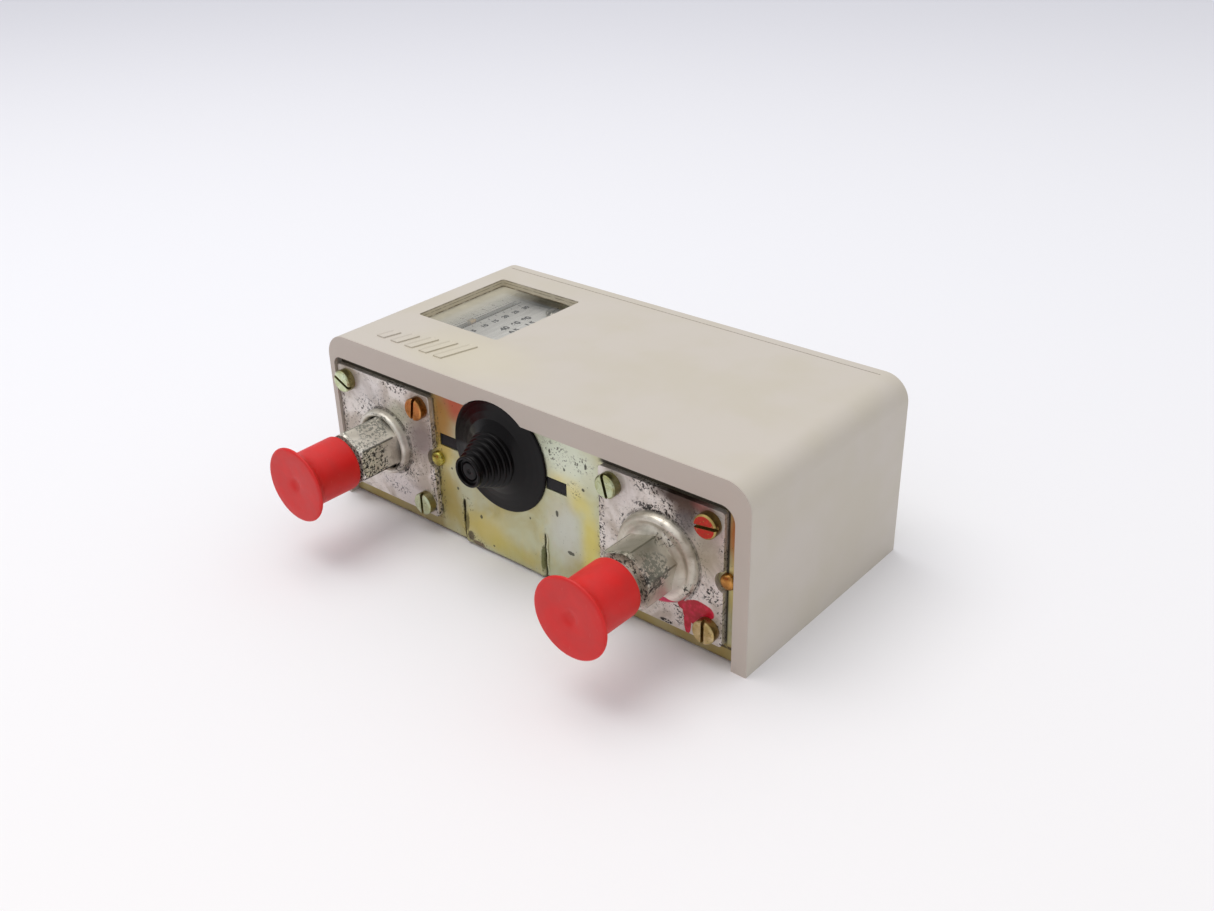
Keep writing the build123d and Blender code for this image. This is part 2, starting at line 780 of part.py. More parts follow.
def terminal_screws():
    screws, clamp_top = [], base_top + terminal_plate_thick + clamp_thick
    for x in terminal_xs():
        under_head = Plane(origin=(x, terminal_y, clamp_top), z_dir=(0, 0, 1))
        screws.append(pan_screw(under_head, 3.3, 2.2, terminal_screw_radius, shank_long=8))
    return Compound(children=screws)


def fixed_contacts():
    """Two block contacts for each switch, one on each side of its moving contact."""
    out, far_y, near_y, wide, deep, tall = 6.65, 23.2, 13.7, 4.5, 2.0, 4.5
    with BuildPart() as contacts:
        with BuildSketch(Plane.XY.offset(base_top)):
            for side in (-1, 1):
                with Locations((mid_x + side * out, far_y), (mid_x + side * out, near_y)):
                    Rectangle(wide, deep)
        extrude(amount=tall)
    return contacts.part


def contact_arm():
    """The low-pressure change-over arm, which turns on a pin in the block."""
    pivot_x, eye, blade_long, blade, tall = mid_x - contact_x, 2.2, 23.0, 1.0, 2.5
    with BuildPart() as arm:
        with BuildSketch(Plane.XY.offset(base_top + 1)):
            with Locations((pivot_x, contact_y)):
                Circle(eye)
            with Locations((pivot_x + 2, contact_y)):
                Rectangle(blade_long, blade)
            with Locations((pivot_x, contact_y)):
                Circle(contact_pin_radius + running, mode=Mode.SUBTRACT)
        extrude(amount=tall)
    return arm.part


def moving_contact():
    """Silver contact buttons on both faces of the arm's tip."""
    tip_x, radius, tall = mid_x - contact_x + 13, 1.2, 1.1
    with BuildPart() as tips:
        for start, amount in ((contact_y + 0.5, -tall), (contact_y - 0.5, tall)):
            with BuildSketch(Plane.XZ.offset(-start)):
                with Locations((tip_x, base_top + 2.25)):
                    Circle(radius)
            extrude(amount=amount)
    return tips.part


def contact_arm_pins():
    low, high, radius = 13, 24, contact_pin_radius
    profile = [(0, low), (radius, low), (radius, high), (0, high)]
    left = turned_z(profile, mid_x - contact_x, contact_y)
    right = turned_z(profile, mid_x + contact_x, contact_y)
    return Compound(children=[left, right])


def reset_button(x):
    """A flush push button with a stop flange and a stem that runs into the contact block."""
    stop_wide, stop_tall, below = 8.4, 5.2, 0.1
    stop_y = inner_y - flange_thick - 2 * below
    with BuildPart() as button:
        with BuildSketch(Plane.XZ.offset(stop_y)):
            with Locations((x, button_z)):
                Rectangle(stop_wide, stop_tall)
        extrude(amount=flange_thick)
        with BuildSketch(Plane.XZ.offset(stop_y)):
            with Locations((x, button_z)):
                Rectangle(*button_size)
        extrude(amount=flange_y - below - stop_y)
        with BuildSketch(Plane.XZ.offset(stop_y)):
            with Locations((x, button_z)):
                Circle(button_stem)
        extrude(amount=-stop_y - stem_end_y)
    return button.part


def reset_spring(x):
    start_y = -inner_y + 1.65
    return coil(x, button_z, start_y, length=24.1, turns=10, mean_radius=2.3, wire_radius=0.35)


def build_pieces():
    arm, lever, tips = main_arm(), contact_arm(), moving_contact()
    pieces = {
        "cover": cover(),
        "window_lens": window_lens(),
        "frame": frame(),
        "plate_rivets": plate_rivets(),
        "low_connector": low_connector(),
        "high_connector": high_connector(),
        "cable_grommet": cable_grommet(),
        "low_main_arm": arm,
        "high_main_arm": mirror(arm, about=MIRROR),
        "arm_pivot_pins": arm_pivot_pins(),
        "pivot_clips": pivot_clips(),
        "low_setting_nut": setting_nut(low_x, slit_x, scale_top + 0.8),
        "high_setting_nut": setting_nut(high_x, high_x, scale_top),
        "scale_plate": scale_plate(),
        "scale_bracket": scale_bracket(),
        "scale_screws": scale_screws(),
        "high_nut_guide": high_nut_guide(),
        "high_guide_screw": high_guide_screw(),
        "cover_screw": cover_screw(),
        "earth_screw": earth_screw(),
        "earth_washer": earth_washer(),
        "contact_base": contact_base(),
        "contact_base_screws": contact_base_screws(),
        "terminal_plates": terminal_plates(),
        "terminal_clamps": terminal_clamps(),
        "terminal_screws": terminal_screws(),
        "fixed_contacts": fixed_contacts(),
        "low_contact_arm": lever,
        "high_contact_arm": mirror(lever, about=MIRROR),
        "low_moving_contact": tips,
        "high_moving_contact": mirror(tips, about=MIRROR),
        "contact_arm_pins": contact_arm_pins(),
    }
    for side, x, button_x in (("low", low_x, button_xs[0]), ("high", high_x, button_xs[1])):
        pieces[side + "_bellows_plate"] = bellows_plate(x)
        pieces[side + "_plate_screws"] = plate_screws(x)
        pieces[side + "_cap"] = port_cap(x)
        pieces[side + "_bellows"] = bellows(x)
        pieces[side + "_thrust_pin"] = thrust_pin(x)
        pieces[side + "_main_spring"] = main_spring(x)
        pieces[side + "_spindle"] = spindle(x)
        pieces[side + "_spindle_clip"] = spindle_clip(x)
        pieces[side + "_reset_button"] = reset_button(button_x)
        pieces[side + "_reset_spring"] = reset_spring(button_x)
    return pieces


os.makedirs("parts", exist_ok=True)
for name, part in build_pieces().items():
    part.label = name
    export_step(part, "parts/" + name + ".step")
    print(name, len(part.solids()), round(part.volume))
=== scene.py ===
"""The looks of the dual pressure switch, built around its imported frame. Lengths are in metres."""

import json
import math

import bmesh
import bpy
from mathutils import Matrix, Vector

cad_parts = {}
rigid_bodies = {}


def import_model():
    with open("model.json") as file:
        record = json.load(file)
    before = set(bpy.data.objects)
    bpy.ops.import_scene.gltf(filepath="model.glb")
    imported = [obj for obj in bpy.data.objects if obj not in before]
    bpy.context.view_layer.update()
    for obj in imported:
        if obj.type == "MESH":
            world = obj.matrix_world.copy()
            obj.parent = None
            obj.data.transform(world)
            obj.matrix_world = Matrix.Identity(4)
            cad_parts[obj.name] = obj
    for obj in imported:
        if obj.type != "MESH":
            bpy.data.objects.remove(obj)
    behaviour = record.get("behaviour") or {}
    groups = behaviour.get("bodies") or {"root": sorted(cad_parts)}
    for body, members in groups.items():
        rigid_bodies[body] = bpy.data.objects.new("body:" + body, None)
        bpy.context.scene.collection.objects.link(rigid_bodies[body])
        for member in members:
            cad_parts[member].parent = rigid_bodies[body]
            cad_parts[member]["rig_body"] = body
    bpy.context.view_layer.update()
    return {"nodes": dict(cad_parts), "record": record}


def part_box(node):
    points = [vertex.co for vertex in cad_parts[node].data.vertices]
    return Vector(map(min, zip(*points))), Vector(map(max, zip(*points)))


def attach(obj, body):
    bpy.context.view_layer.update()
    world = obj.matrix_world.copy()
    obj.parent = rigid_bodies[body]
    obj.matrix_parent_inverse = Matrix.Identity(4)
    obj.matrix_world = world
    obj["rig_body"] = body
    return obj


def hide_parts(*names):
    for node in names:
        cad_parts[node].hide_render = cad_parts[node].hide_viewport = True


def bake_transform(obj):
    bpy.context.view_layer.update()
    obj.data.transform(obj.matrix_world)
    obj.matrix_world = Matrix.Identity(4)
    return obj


MM = 0.001
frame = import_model()
nodes = frame["nodes"]
scene = bpy.context.scene

# ---- places read from the frame

def middle(node):
    low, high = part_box(node)
    return (low + high) / 2


LOW_AXIS = middle("low_cap")
HIGH_AXIS = middle("high_cap")
SIDES = (("low", LOW_AXIS), ("high", HIGH_AXIS))
GROMMET_AXIS = middle("cable_grommet")
PLATE_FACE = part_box("low_bellows_plate")[0].y
PRINT_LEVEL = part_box("scale_plate")[1].z + 0.013 * MM
HEAD_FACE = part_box("low_plate_screws")[0].y
LENS_RIM = Vector((0.8 * MM, 0.8 * MM, 0))
WINDOW_LOW, WINDOW_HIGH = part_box("window_lens")[0] + LENS_RIM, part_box("window_lens")[1] - LENS_RIM

# Sizes that the frame's boxes don't give, and the tolerances for cleaning its meshes.
FLANGE_FACE = -28.75 * MM
COVER_TOP = 44.8 * MM
SLIT_X = -48.2 * MM
PORT_PITCH = 1.27 * MM
SPINDLE_PITCH = 1.0 * MM
SCREW_REACH = 12.8 * MM
CAD_SLOT_ANGLE = 120
ARM_SWING_ROOM = 1.1 * MM
WELD = 0.2e-6
FLAT = math.radians(0.6)


# ---- materials

def srgb(red, green, blue):
    """A colour from its usual 0 to 255 values."""
    def linear(value):
        value /= 255
        return value / 12.92 if value <= 0.04045 else ((value + 0.055) / 1.055) ** 2.4
    return (linear(red), linear(green), linear(blue), 1.0)


class Finish:
    """A Principled material built up from patterns in the part's own space."""

    def __init__(self, name, color, rough, metal=0.0):
        self.mat = bpy.data.materials.new(name)
        self.mat.use_nodes = True
        self.tree = self.mat.node_tree
        self.shader = self.tree.nodes["Principled BSDF"]
        self.place = self.tree.nodes.new("ShaderNodeTexCoord").outputs["Object"]
        self.put("Base Color", color)
        self.put("Roughness", rough)
        self.put("Metallic", metal)

    def put(self, socket, value):
        self.feed(self.shader.inputs[socket], value)

    def put_rough(self, pattern, swing, base):
        """A roughness that rises from base by swing where the pattern is 1."""
        self.put("Roughness", self.add(self.mul(pattern, swing), base))

    def feed(self, socket, value):
        if isinstance(value, bpy.types.NodeSocket):
            self.tree.links.new(value, socket)
        else:
            socket.default_value = value

    def node(self, kind, inputs, **settings):
        made = self.tree.nodes.new(kind)
        for key, value in settings.items():
            setattr(made, key, value)
        for key, value in inputs.items():
            self.feed(made.inputs[key], value)
        return made

    def noise(self, size, detail=3.0, rough=0.55, twist=0.0, stretch=None, shift=(0, 0, 0)):
        """Cloudy pattern whose features are about size millimetres wide."""
        mapping = {"Vector": self.place, "Scale": stretch or (1, 1, 1), "Location": shift}
        place = self.node("ShaderNodeMapping", mapping).outputs[0]
        inputs = {"Vector": place, "Scale": 1 / (size * MM), "Detail": detail}
        inputs |= {"Roughness": rough, "Distortion": twist}
        return self.node("ShaderNodeTexNoise", inputs).outputs["Fac"]

    def math(self, operation, a, b=0.0):
        return self.node("ShaderNodeMath", {0: a, 1: b}, operation=operation).outputs[0]

    def mul(self, a, b):
        return self.math("MULTIPLY", a, b)

    def add(self, a, b):
        return self.math("ADD", a, b)

    def less(self, a, b):
        return self.math("SUBTRACT", a, b)

    def most(self, a, b):
        return self.math("MAXIMUM", a, b)

    def vector(self, operation, a, b=(0, 0, 0)):
        made = self.node("ShaderNodeVectorMath", {0: a, 1: b}, operation=operation)
        return made.outputs["Value" if operation == "LENGTH" else "Vector"]

    def span(self, value, low, high):
        """0 below low, 1 above high, and smooth between them."""
        inputs = {"Value": value, "From Min": low, "From Max": high}
        return self.node("ShaderNodeMapRange", inputs, interpolation_type="SMOOTHSTEP").outputs[0]

    def band(self, value, low, high, edge):
        """1 between low and high, with soft edges."""
        return self.mul(self.span(value, low - edge, low + edge), self.span(value, high + edge, high - edge))

    def ramp(self, letter, low, high):
        """0 below low and 1 above high along an axis, both in mm."""
        return self.span(self.axis(letter), low * MM, high * MM)

    def strip(self, letter, low, high, edge):
        """1 between two places along an axis, all in mm."""
        return self.band(self.axis(letter), low * MM, high * MM, edge * MM)

    def mix(self, share, a, b):
        return self.node("ShaderNodeMix", {0: share, 6: a, 7: b}, data_type="RGBA").outputs[2]

    def tones(self, share, a, b):
        return self.mix(share, srgb(*a), srgb(*b))

    def over(self, tint, color, share, amount=None):
        """Lays a colour over a tint where share is 1."""
        share = share if amount is None else self.mul(share, amount)
        return self.mix(share, tint, srgb(*color))

    def axis(self, letter):
        return self.node("ShaderNodeSeparateXYZ", {0: self.place}).outputs[letter.upper()]

    def facing(self, letter):
        """How far the surface looks along an axis, from -1 to 1."""
        normal = self.node("ShaderNodeNewGeometry", {}).outputs["Normal"]
        return self.node("ShaderNodeSeparateXYZ", {0: normal}).outputs[letter.upper()]

    def reach(self, axis):
        """Distance from the line along Y through axis."""
        moved = self.vector("SUBTRACT", self.place, tuple(axis))
        return self.vector("LENGTH", self.vector("MULTIPLY", moved, (1, 0, 1)))

    def spot(self, centre, radii, edge, ragged, grain):
        """1 inside an ellipsoid about centre and 0 outside it, with an edge made uneven by grains in mm."""
        moved = self.vector("SUBTRACT", self.place, centre)
        scaled = self.vector("MULTIPLY", moved, [1 / r for r in radii])
        wave = self.mul(self.less(self.noise(grain, 3), 0.5), ragged)
        distance = self.add(self.vector("LENGTH", scaled), wave)
        return self.span(distance, 1 + edge / 2, 1 - edge / 2)

    def bump(self, height, depth, strength):
        """Adds relief, at most depth mm high, on top of any relief that is there already."""
        previous = self.shader.inputs["Normal"]
        inputs = {"Height": height, "Distance": depth * MM, "Strength": strength}
        made = self.node("ShaderNodeBump", inputs)
        if previous.is_linked:
            self.tree.links.new(previous.links[0].from_socket, made.inputs["Normal"])
        self.tree.links.new(made.outputs[0], previous)


def spot_on(m, y, place, radii, deep, edge, ragged, grain):
    """An uneven patch on an upright face at y. place and radii are (x, z) in mm, as are deep and grain."""
    centre = (place[0] * MM, y, place[1] * MM)
    return m.spot(centre, (radii[0] * MM, deep * MM, radii[1] * MM), edge, ragged, grain)


def near_port(axis, rows):
    """Places and radii in metres, from rows of x, y, z and three radii in mm about a port's foot.
    What follows these six in a row stays as it is."""
    made = []
    for row in rows:
        centre = tuple(start + step * MM for start, step in zip((axis.x, PLATE_FACE, axis.z), row))
        made.append((centre, tuple(radius * MM for radius in row[3:6]), *row[6:]))
    return made


def cover_finish():
    """Warm grey moulded plastic: fine grain, faint yellowing, painted shade on the end face and painted shade
    lines in the window's corners.
    """
    m = Finish("cover_plastic", srgb(205, 197, 184), 0.42)
    cloud = m.span(m.noise(18, 3, 0.5), 0.35, 0.7)
    tint = m.tones(cloud, (200, 192, 182), (197, 189, 175))
    aged = m.spot((-24 * MM, -20 * MM, COVER_TOP), (16 * MM, 9 * MM, 4 * MM), 1.4, 0.5, 9)
    tint = m.over(tint, (207, 199, 176), aged, 0.5)
    # Painted shade: the end face is darkened and warmed, as it gets less light than the top.
    end_face_shade = m.ramp("y", -30.2, -30.7)
    tint = m.over(tint, (190, 179, 169), end_face_shade, 0.9)
    tint = window_dirt(m, tint)
    fleck = m.span(m.noise(0.55, 2, 0.6), 0.72, 0.78)
    fleck = m.mul(fleck, m.span(m.noise(9, 2), 0.55, 0.7))
    m.put("Base Color", m.over(tint, (150, 138, 120), fleck, 0.35))
    rub = m.noise(6, 5, 0.6, 0.4, (1, 0.35, 1))
    m.put_rough(rub, 0.16, 0.38)
    m.bump(m.noise(0.35, 2, 0.5), 0.012, 0.5)
    m.bump(m.noise(7, 2, 0.4), 0.05, 0.35)
    return m.mat


def window_dirt(m, tint):
    """Walls round the window tinted beige-olive, with broken brown lines of painted shade in their corners.
    """
    z, margin, soft = m.axis("z"), 0.2 * MM, 0.05 * MM
    inside = m.mul(m.band(m.axis("x"), WINDOW_LOW.x - margin, WINDOW_HIGH.x + margin, soft),
                   m.band(m.axis("y"), WINDOW_LOW.y - margin, WINDOW_HIGH.y + margin, soft))
    wall = m.mul(inside, m.span(z, COVER_TOP - 0.1 * MM, COVER_TOP - 0.3 * MM))
    tint = m.over(tint, (196, 186, 160), wall, 0.7)
    # Painted shade: broken brown lines at the wall's foot, part way up it and just under its top edge.
    foot = WINDOW_HIGH.z
    shade_lines = m.most(m.band(z, foot - 0.1 * MM, foot + 0.22 * MM, 0.12 * MM),
                   m.band(z, foot + 0.95 * MM, foot + 1.1 * MM, 0.1 * MM))
    shade_lines = m.most(shade_lines, m.band(z, COVER_TOP - 0.34 * MM, COVER_TOP - 0.16 * MM, 0.08 * MM))
    broken = m.span(m.noise(2.2, 3, 0.6), 0.30, 0.55)
    return m.over(tint, (92, 74, 46), m.mul(shade_lines, inside), m.mul(broken, 0.85))


def lens_finish():
    """Clear acrylic with a faint greenish haze, and a painted reflection as a whitish veil that is thickest
    at its left: mirrors more at a slant.
    """
    m = Finish("clear_plastic", srgb(232, 232, 222), 0.08, 1.0)
    inward, ior = m.node("ShaderNodeNewGeometry", {}).outputs["Backfacing"], 1.5
    index = m.less(ior, m.mul(inward, ior - 1 / ior))
    slant = m.node("ShaderNodeFresnel", {"IOR": index}).outputs[0]
    upper = m.span(m.math("ABSOLUTE", m.facing("z")), 0.4, 0.6)
    upper = m.mul(upper, m.span(m.axis("z"), WINDOW_HIGH.z - 0.4 * MM, WINDOW_HIGH.z - 0.2 * MM))
    # Painted reflection: towards the left the lens turns whiter, less metallic and more opaque, standing in
    # for the bright reflection there.
    left = m.span(m.axis("x"), WINDOW_LOW.x + 17 * MM, WINDOW_LOW.x + 0.5 * MM)
    cloud = m.span(m.noise(9, 4, 0.6, 0.8), 0.35, 0.75)
    haze_and_reflection = m.add(m.mul(left, 0.50), m.mul(cloud, 0.08))
    m.put("Base Color", m.tones(left, (226, 226, 222), (224, 218, 198)))
    m.put("Metallic", m.less(1.0, m.mul(left, 0.8)))
    alpha = m.add(m.mul(slant, 1.2), m.add(haze_and_reflection, 0.02))
    m.put("Alpha", m.mul(alpha, upper))
    m.put_rough(m.noise(2, 4), 0.1, 0.12)
    m.bump(m.noise(14, 2), 0.06, 0.3)
    return m.mat


def chromate_finish():
    """Yellow chromate over zinc, with green, straw and pink tints, scratches, grime, and painted shade in its
    gaps and slits.
    """
    m = Finish("chromated_steel", srgb(196, 190, 146), 0.4, 0.7)
    front = m.ramp("y", -26.8, -27.4)
    tint, gap_shade = chromate_gaps(m, chromate_tints(m, front), front)
    tint, dirt = with_grime(m, tint, 0.665, 0.7, 0.5)
    # The dirt share that comes back also holds the painted shade of the gaps and slits, so roughness and
    # metallic treat them as dirt.
    tint, dirt = chromate_wear(m, tint, m.most(dirt, gap_shade), front)
    m.put("Base Color", tint)
    scratch = m.noise(0.5, 4, 0.6, 0.2, (1, 1, 0.06))
    m.put("Roughness", m.add(m.mul(dirt, 0.3), m.add(m.mul(scratch, 0.25), 0.27)))
    m.put("Metallic", m.less(0.7, m.mul(dirt, 0.65)))
    m.bump(scratch, 0.01, 0.5)
    m.bump(m.noise(4, 3, 0.5), 0.06, 0.5)
    return m.mat


def chromate_tints(m, front):
    """Clouds of green, straw and pink, vivid at the connector end and calm elsewhere."""
    vivid = m.add(m.mul(front, 0.6), 0.4)
    cloud = m.span(m.noise(12, 3, 0.55, 0.3, None, (3, 1, 2)), 0.36, 0.66)
    cloud = m.add(m.mul(cloud, vivid), m.mul(m.less(1.0, vivid), 0.4))
    tint = m.tones(cloud, (196, 199, 170), (178, 168, 116))
    veil = m.span(m.noise(5, 4, 0.6, 0.4, (1, 1, 0.6), (7, 0, 0)), 0.48, 0.72)
    tint = m.over(tint, (212, 196, 122), veil, m.mul(vivid, 0.28))
    rosy = m.span(m.noise(9, 2, 0.5, 0.8, None, (0, 4, 9)), 0.60, 0.75)
    tint = m.over(tint, (205, 165, 140), rosy, 0.25)
    for place, radii, amount, color in (
        ((-26, 31), (3.5, 8), 0.85, (190, 146, 76)),
        ((-20.5, 37), (3.2, 4.2), 0.9, (200, 104, 80)),
        ((-26, 23), (3, 3.5), 0.5, (206, 190, 84)),
        ((13, 28), (4.2, 2.4), 0.7, (226, 204, 100)),
        ((16, 24), (2.5, 3), 0.6, (222, 206, 108)),
        ((19.5, 14), (2.4, 10), 0.65, (222, 208, 104)),
        ((-12, 6), (7, 4), 0.7, (206, 186, 92)),
        ((-4, 3.5), (8, 2.5), 0.6, (196, 184, 98)),
        ((14, 34), (9, 6), 0.85, (220, 227, 209)),
        ((12, 15), (4.5, 8), 0.7, (208, 212, 208)),
        ((-3, 10), (5, 4), 0.45, (200, 204, 176)),
        ((-25.5, 9), (3.5, 8), 0.7, (182, 164, 92)),
        ((58.5, 31), (2.5, 6), 0.9, (186, 116, 62)),
        ((58.5, 21), (2.5, 6), 0.6, (204, 184, 84)),
    ):
        near = spot_on(m, FLANGE_FACE, place, radii, 3, 1.3, 0.7, 4)
        tint = m.over(tint, color, near, amount)
    return tint


def chromate_gaps(m, tint, front):
    """A brown foot, and dark lines of painted shade in the gaps where the flange meets the cover and the
    plates' edges.
    """
    beside = m.most(m.ramp("x", -27, -29), m.ramp("x", 22, 24))
    below = m.mul(m.ramp("z", 5.5, 3.8), front)
    tint = m.over(tint, (158, 136, 78), m.mul(below, beside), 0.7)
    foot = m.mul(m.ramp("z", 1.3, 0.5), m.span(m.noise(3, 3, 0.6), 0.3, 0.5))
    tint = m.over(tint, (92, 68, 38), foot, 0.7)
    # Painted shade: dark lines in the gaps along the cover, at the plates' outer ends and edges, and under
    # the plates.
    gap_shade = m.mul(m.ramp("z", 36.3, 36.9), beside)
    for start, stop in ((-61.5, -60.4), (55.7, 56.4)):
        edge = m.strip("x", start, stop, 0.15)
        gap_shade = m.most(gap_shade, m.mul(edge, m.ramp("z", 3, 6)))
    beside_low = m.mul(m.strip("x", -28.2, -27.7, 0.12), m.ramp("z", 4, 6))
    under = m.mul(m.strip("z", 3.55, 4.25, 0.14), beside)
    ragged = m.span(m.noise(1.6, 3, 0.6, 0.0, None, (6, 1, 3)), 0.40, 0.52)
    shade_lines = m.mul(m.most(beside_low, under), m.mul(ragged, 0.85))
    gap_shade = m.mul(m.most(gap_shade, shade_lines), front)
    return m.over(tint, (36, 25, 16), gap_shade, 0.95), gap_shade


def chromate_wear(m, tint, dirt, front):
    """Clusters of specks, painted shade lines in the slits, brown stains and single chips."""
    def marked(color, share):
        return m.over(tint, color, share), m.most(dirt, share)

    thick = m.span(m.noise(0.5, 3, 0.7, 0.0, None, (9, 2, 4)), 0.56, 0.60)
    for place, radii in (
        ((15.4, 27), (1.8, 1.8)),
        ((10, 34), (4, 3)),
        ((-17, 2.4), (3.2, 1.5)),
        ((-13.6, 1.4), (2.2, 0.8)),
        ((-20, 7), (0.9, 5.5)),
        ((6, 7), (0.8, 5.5)),
        ((18, 34), (3, 2)),
        ((-27.4, 20), (1.1, 15)),
        ((22.6, 20), (0.8, 16)),
        ((-18.7, 11.6), (1.4, 1.0)),
    ):
        near = spot_on(m, FLANGE_FACE, place, radii, 2, 0.9, 0.9, 1.5)
        tint, dirt = marked((46, 40, 28), m.mul(near, m.mul(thick, 0.85)))
    # Painted shade: dark lines down the slits, where the gap and the tongue's raised edge lie in shade.
    for slit, low, high in ((-20.05, 1.0, 11.9), (6.05, 0.6, 12.1)):
        line = m.strip("x", slit - 0.30, slit + 0.12, 0.10)
        line = m.mul(m.mul(line, front), m.strip("z", low, high, 0.4))
        tint, dirt = marked((34, 28, 18), m.mul(line, 0.9))
    for place, radii, color in (
        ((-18.0, 2.7), (1.1, 1.3), (60, 44, 36)),
        ((-15.6, 1.3), (2.0, 0.75), (96, 70, 58)),
        ((-18.9, 6.0), (0.5, 2.6), (92, 84, 44)),
        ((5.4, 5.5), (0.5, 3.4), (96, 100, 48)),
    ):
        near = spot_on(m, FLANGE_FACE, place, radii, 2, 0.4, 1.0, 0.7)
        tint, dirt = marked(color, m.mul(near, 0.8))
    for place, radii in (
        ((-14.4, 9.1), (0.45, 0.5)),
        ((9.9, 18.9), (0.4, 0.8)),
        ((13.7, 9.9), (1.0, 0.5)),
        ((-10.4, 2.7), (0.35, 0.3)),
        ((-22, 14.1), (0.35, 0.4)),
        ((8.5, 34.3), (0.3, 0.5)),
        ((12.6, 31), (0.3, 0.4)),
        ((18.8, 33.8), (0.35, 0.7)),
        ((-23.5, 19), (0.3, 0.3)),
        ((17.9, 27.8), (0.4, 0.4)),
        ((1.5, 14.6), (0.25, 0.3)),
    ):
        near = spot_on(m, FLANGE_FACE, place, radii, 2, 0.3, 0.9, 0.5)
        tint, dirt = marked((52, 52, 40), m.mul(near, 0.85))
    return tint, dirt


def with_grime(m, tint, threshold, size, amount, clusters=6):
    """Small dark specks that gather in clusters. Returns the dirtied colour and the share of dirt."""
    specks = m.span(m.noise(size, 3, 0.65), threshold, threshold + 0.04)
    gather = m.span(m.noise(clusters, 2, 0.5, 0.5, None, (5, 5, 5)), 0.42, 0.6)
    dirt = m.math("MINIMUM", m.mul(m.mul(specks, gather), amount + 0.45), 1.0)
    return m.over(tint, (34, 28, 23), dirt), dirt


def zinc_finish(name, marks, light=(224, 217, 211), dark=(186, 175, 163), metal=0.55, rough=0.36, grain=0.62):
    """White zinc, dulled and speckled. Each mark is (centre, radii, density of specks). grain is in mm."""
    m = Finish(name, srgb(*light), rough, metal)
    cloud = m.span(m.noise(7, 4, 0.6, 0.6), 0.38, 0.66)
    tint = m.tones(cloud, light, dark)
    smear = m.span(m.noise(2.6, 4, 0.65, 1.0, (1, 1, 1.6)), 0.58, 0.70)
    tint = m.over(tint, (136, 126, 116), smear, 0.5)
    tint, dirt = with_grime(m, tint, 0.64, 0.7, 0.35, 5)
    specks = m.noise(grain, 3, 0.7, 0.0, None, (9, 2, 4))
    for centre, radii, amount in marks:
        near = m.span(m.spot(centre, radii, 0.9, 0.8, 1.8), 0.15, 0.7)
        sparse = 0.625 - 0.095 * amount
        share = m.mul(near, m.mul(m.span(specks, sparse, sparse + 0.025), 0.96))
        tint = m.over(tint, (22, 17, 14), share)
        dirt = m.most(dirt, share)
    m.put("Base Color", tint)
    m.put("Roughness", m.add(m.mul(cloud, 0.14), m.add(m.mul(dirt, 0.3), rough)))
    m.put("Metallic", m.mul(metal, m.less(1.0, m.mul(dirt, 0.9))))
    m.bump(m.noise(0.9, 3, 0.6), 0.02, 0.6)
    m.bump(m.noise(5, 2, 0.5), 0.06, 0.4)
    return m, tint


def simple_metal(name, light, dark, rough, side=None):
    """A plated or turned metal: two tones, light tarnish, fine tool marks and a little grime.
    side is a painted shade colour, for the faces that don't look outward and for the sunk slot and lower
    head, as on the screw heads."""
    m = Finish(name, srgb(*light), rough, 0.9)
    cloud = m.span(m.noise(2.5, 4, 0.6, 0.6), 0.32, 0.68)
    tint = m.tones(cloud, light, dark)
    if side:
        # Painted shade: the head's sides, its slot and its lower part take the darker side colour.
        sunk_shade = m.span(m.axis("y"), HEAD_FACE + 0.55 * MM, HEAD_FACE + 0.8 * MM)
        tint = m.over(tint, side, m.most(m.span(m.facing("y"), -0.85, -0.4), sunk_shade), 0.8)
    tint, _ = with_grime(m, tint, 0.63, 0.5, 0.35, 3)
    m.put("Base Color", tint)
    marks = m.noise(0.25, 3, 0.6, 0.0, (1, 0.2, 1))
    m.put_rough(marks, 0.2, rough - 0.08)
    m.bump(marks, 0.008, 0.5)
    return m.mat


def rubber_finish():
    """Black moulded rubber: satin, with a little dust in places."""
    m = Finish("grommet_rubber", srgb(10, 8, 9), 0.36)
    dust = m.span(m.noise(3, 4, 0.6), 0.52, 0.85)
    m.put("Base Color", m.tones(m.mul(dust, 0.12), (10, 8, 9), (40, 32, 32)))
    m.put_rough(m.noise(1.5, 3), 0.12, 0.13)
    m.put("Specular IOR Level", 0.16)
    m.bump(m.noise(0.4, 2), 0.008, 0.5)
    return m.mat


def cap_finish():
    """Soft red plastic: slightly translucent, chalky on the disc, with scuffs."""
    m = Finish("cap_plastic", srgb(208, 28, 26), 0.42)
    cloud = m.span(m.noise(5, 3, 0.5, 0.5), 0.3, 0.7)
    tint = m.tones(cloud, (214, 26, 24), (204, 34, 32))
    scuff = m.span(m.noise(0.8, 4, 0.65, 0.0, (1, 1, 0.4)), 0.64, 0.72)
    m.put("Base Color", m.over(tint, (222, 110, 104), scuff, 0.18))
    m.put("Subsurface Weight", 0.18)
    m.put("Subsurface Radius", (1.0, 0.25, 0.2))
    m.put("Subsurface Scale", 1.2 * MM)
    m.put_rough(m.noise(2, 4), 0.2, 0.36)
    m.put("Specular IOR Level", 0.4)
    m.bump(m.noise(2.2, 3, 0.5), 0.04, 0.5)
    return m.mat


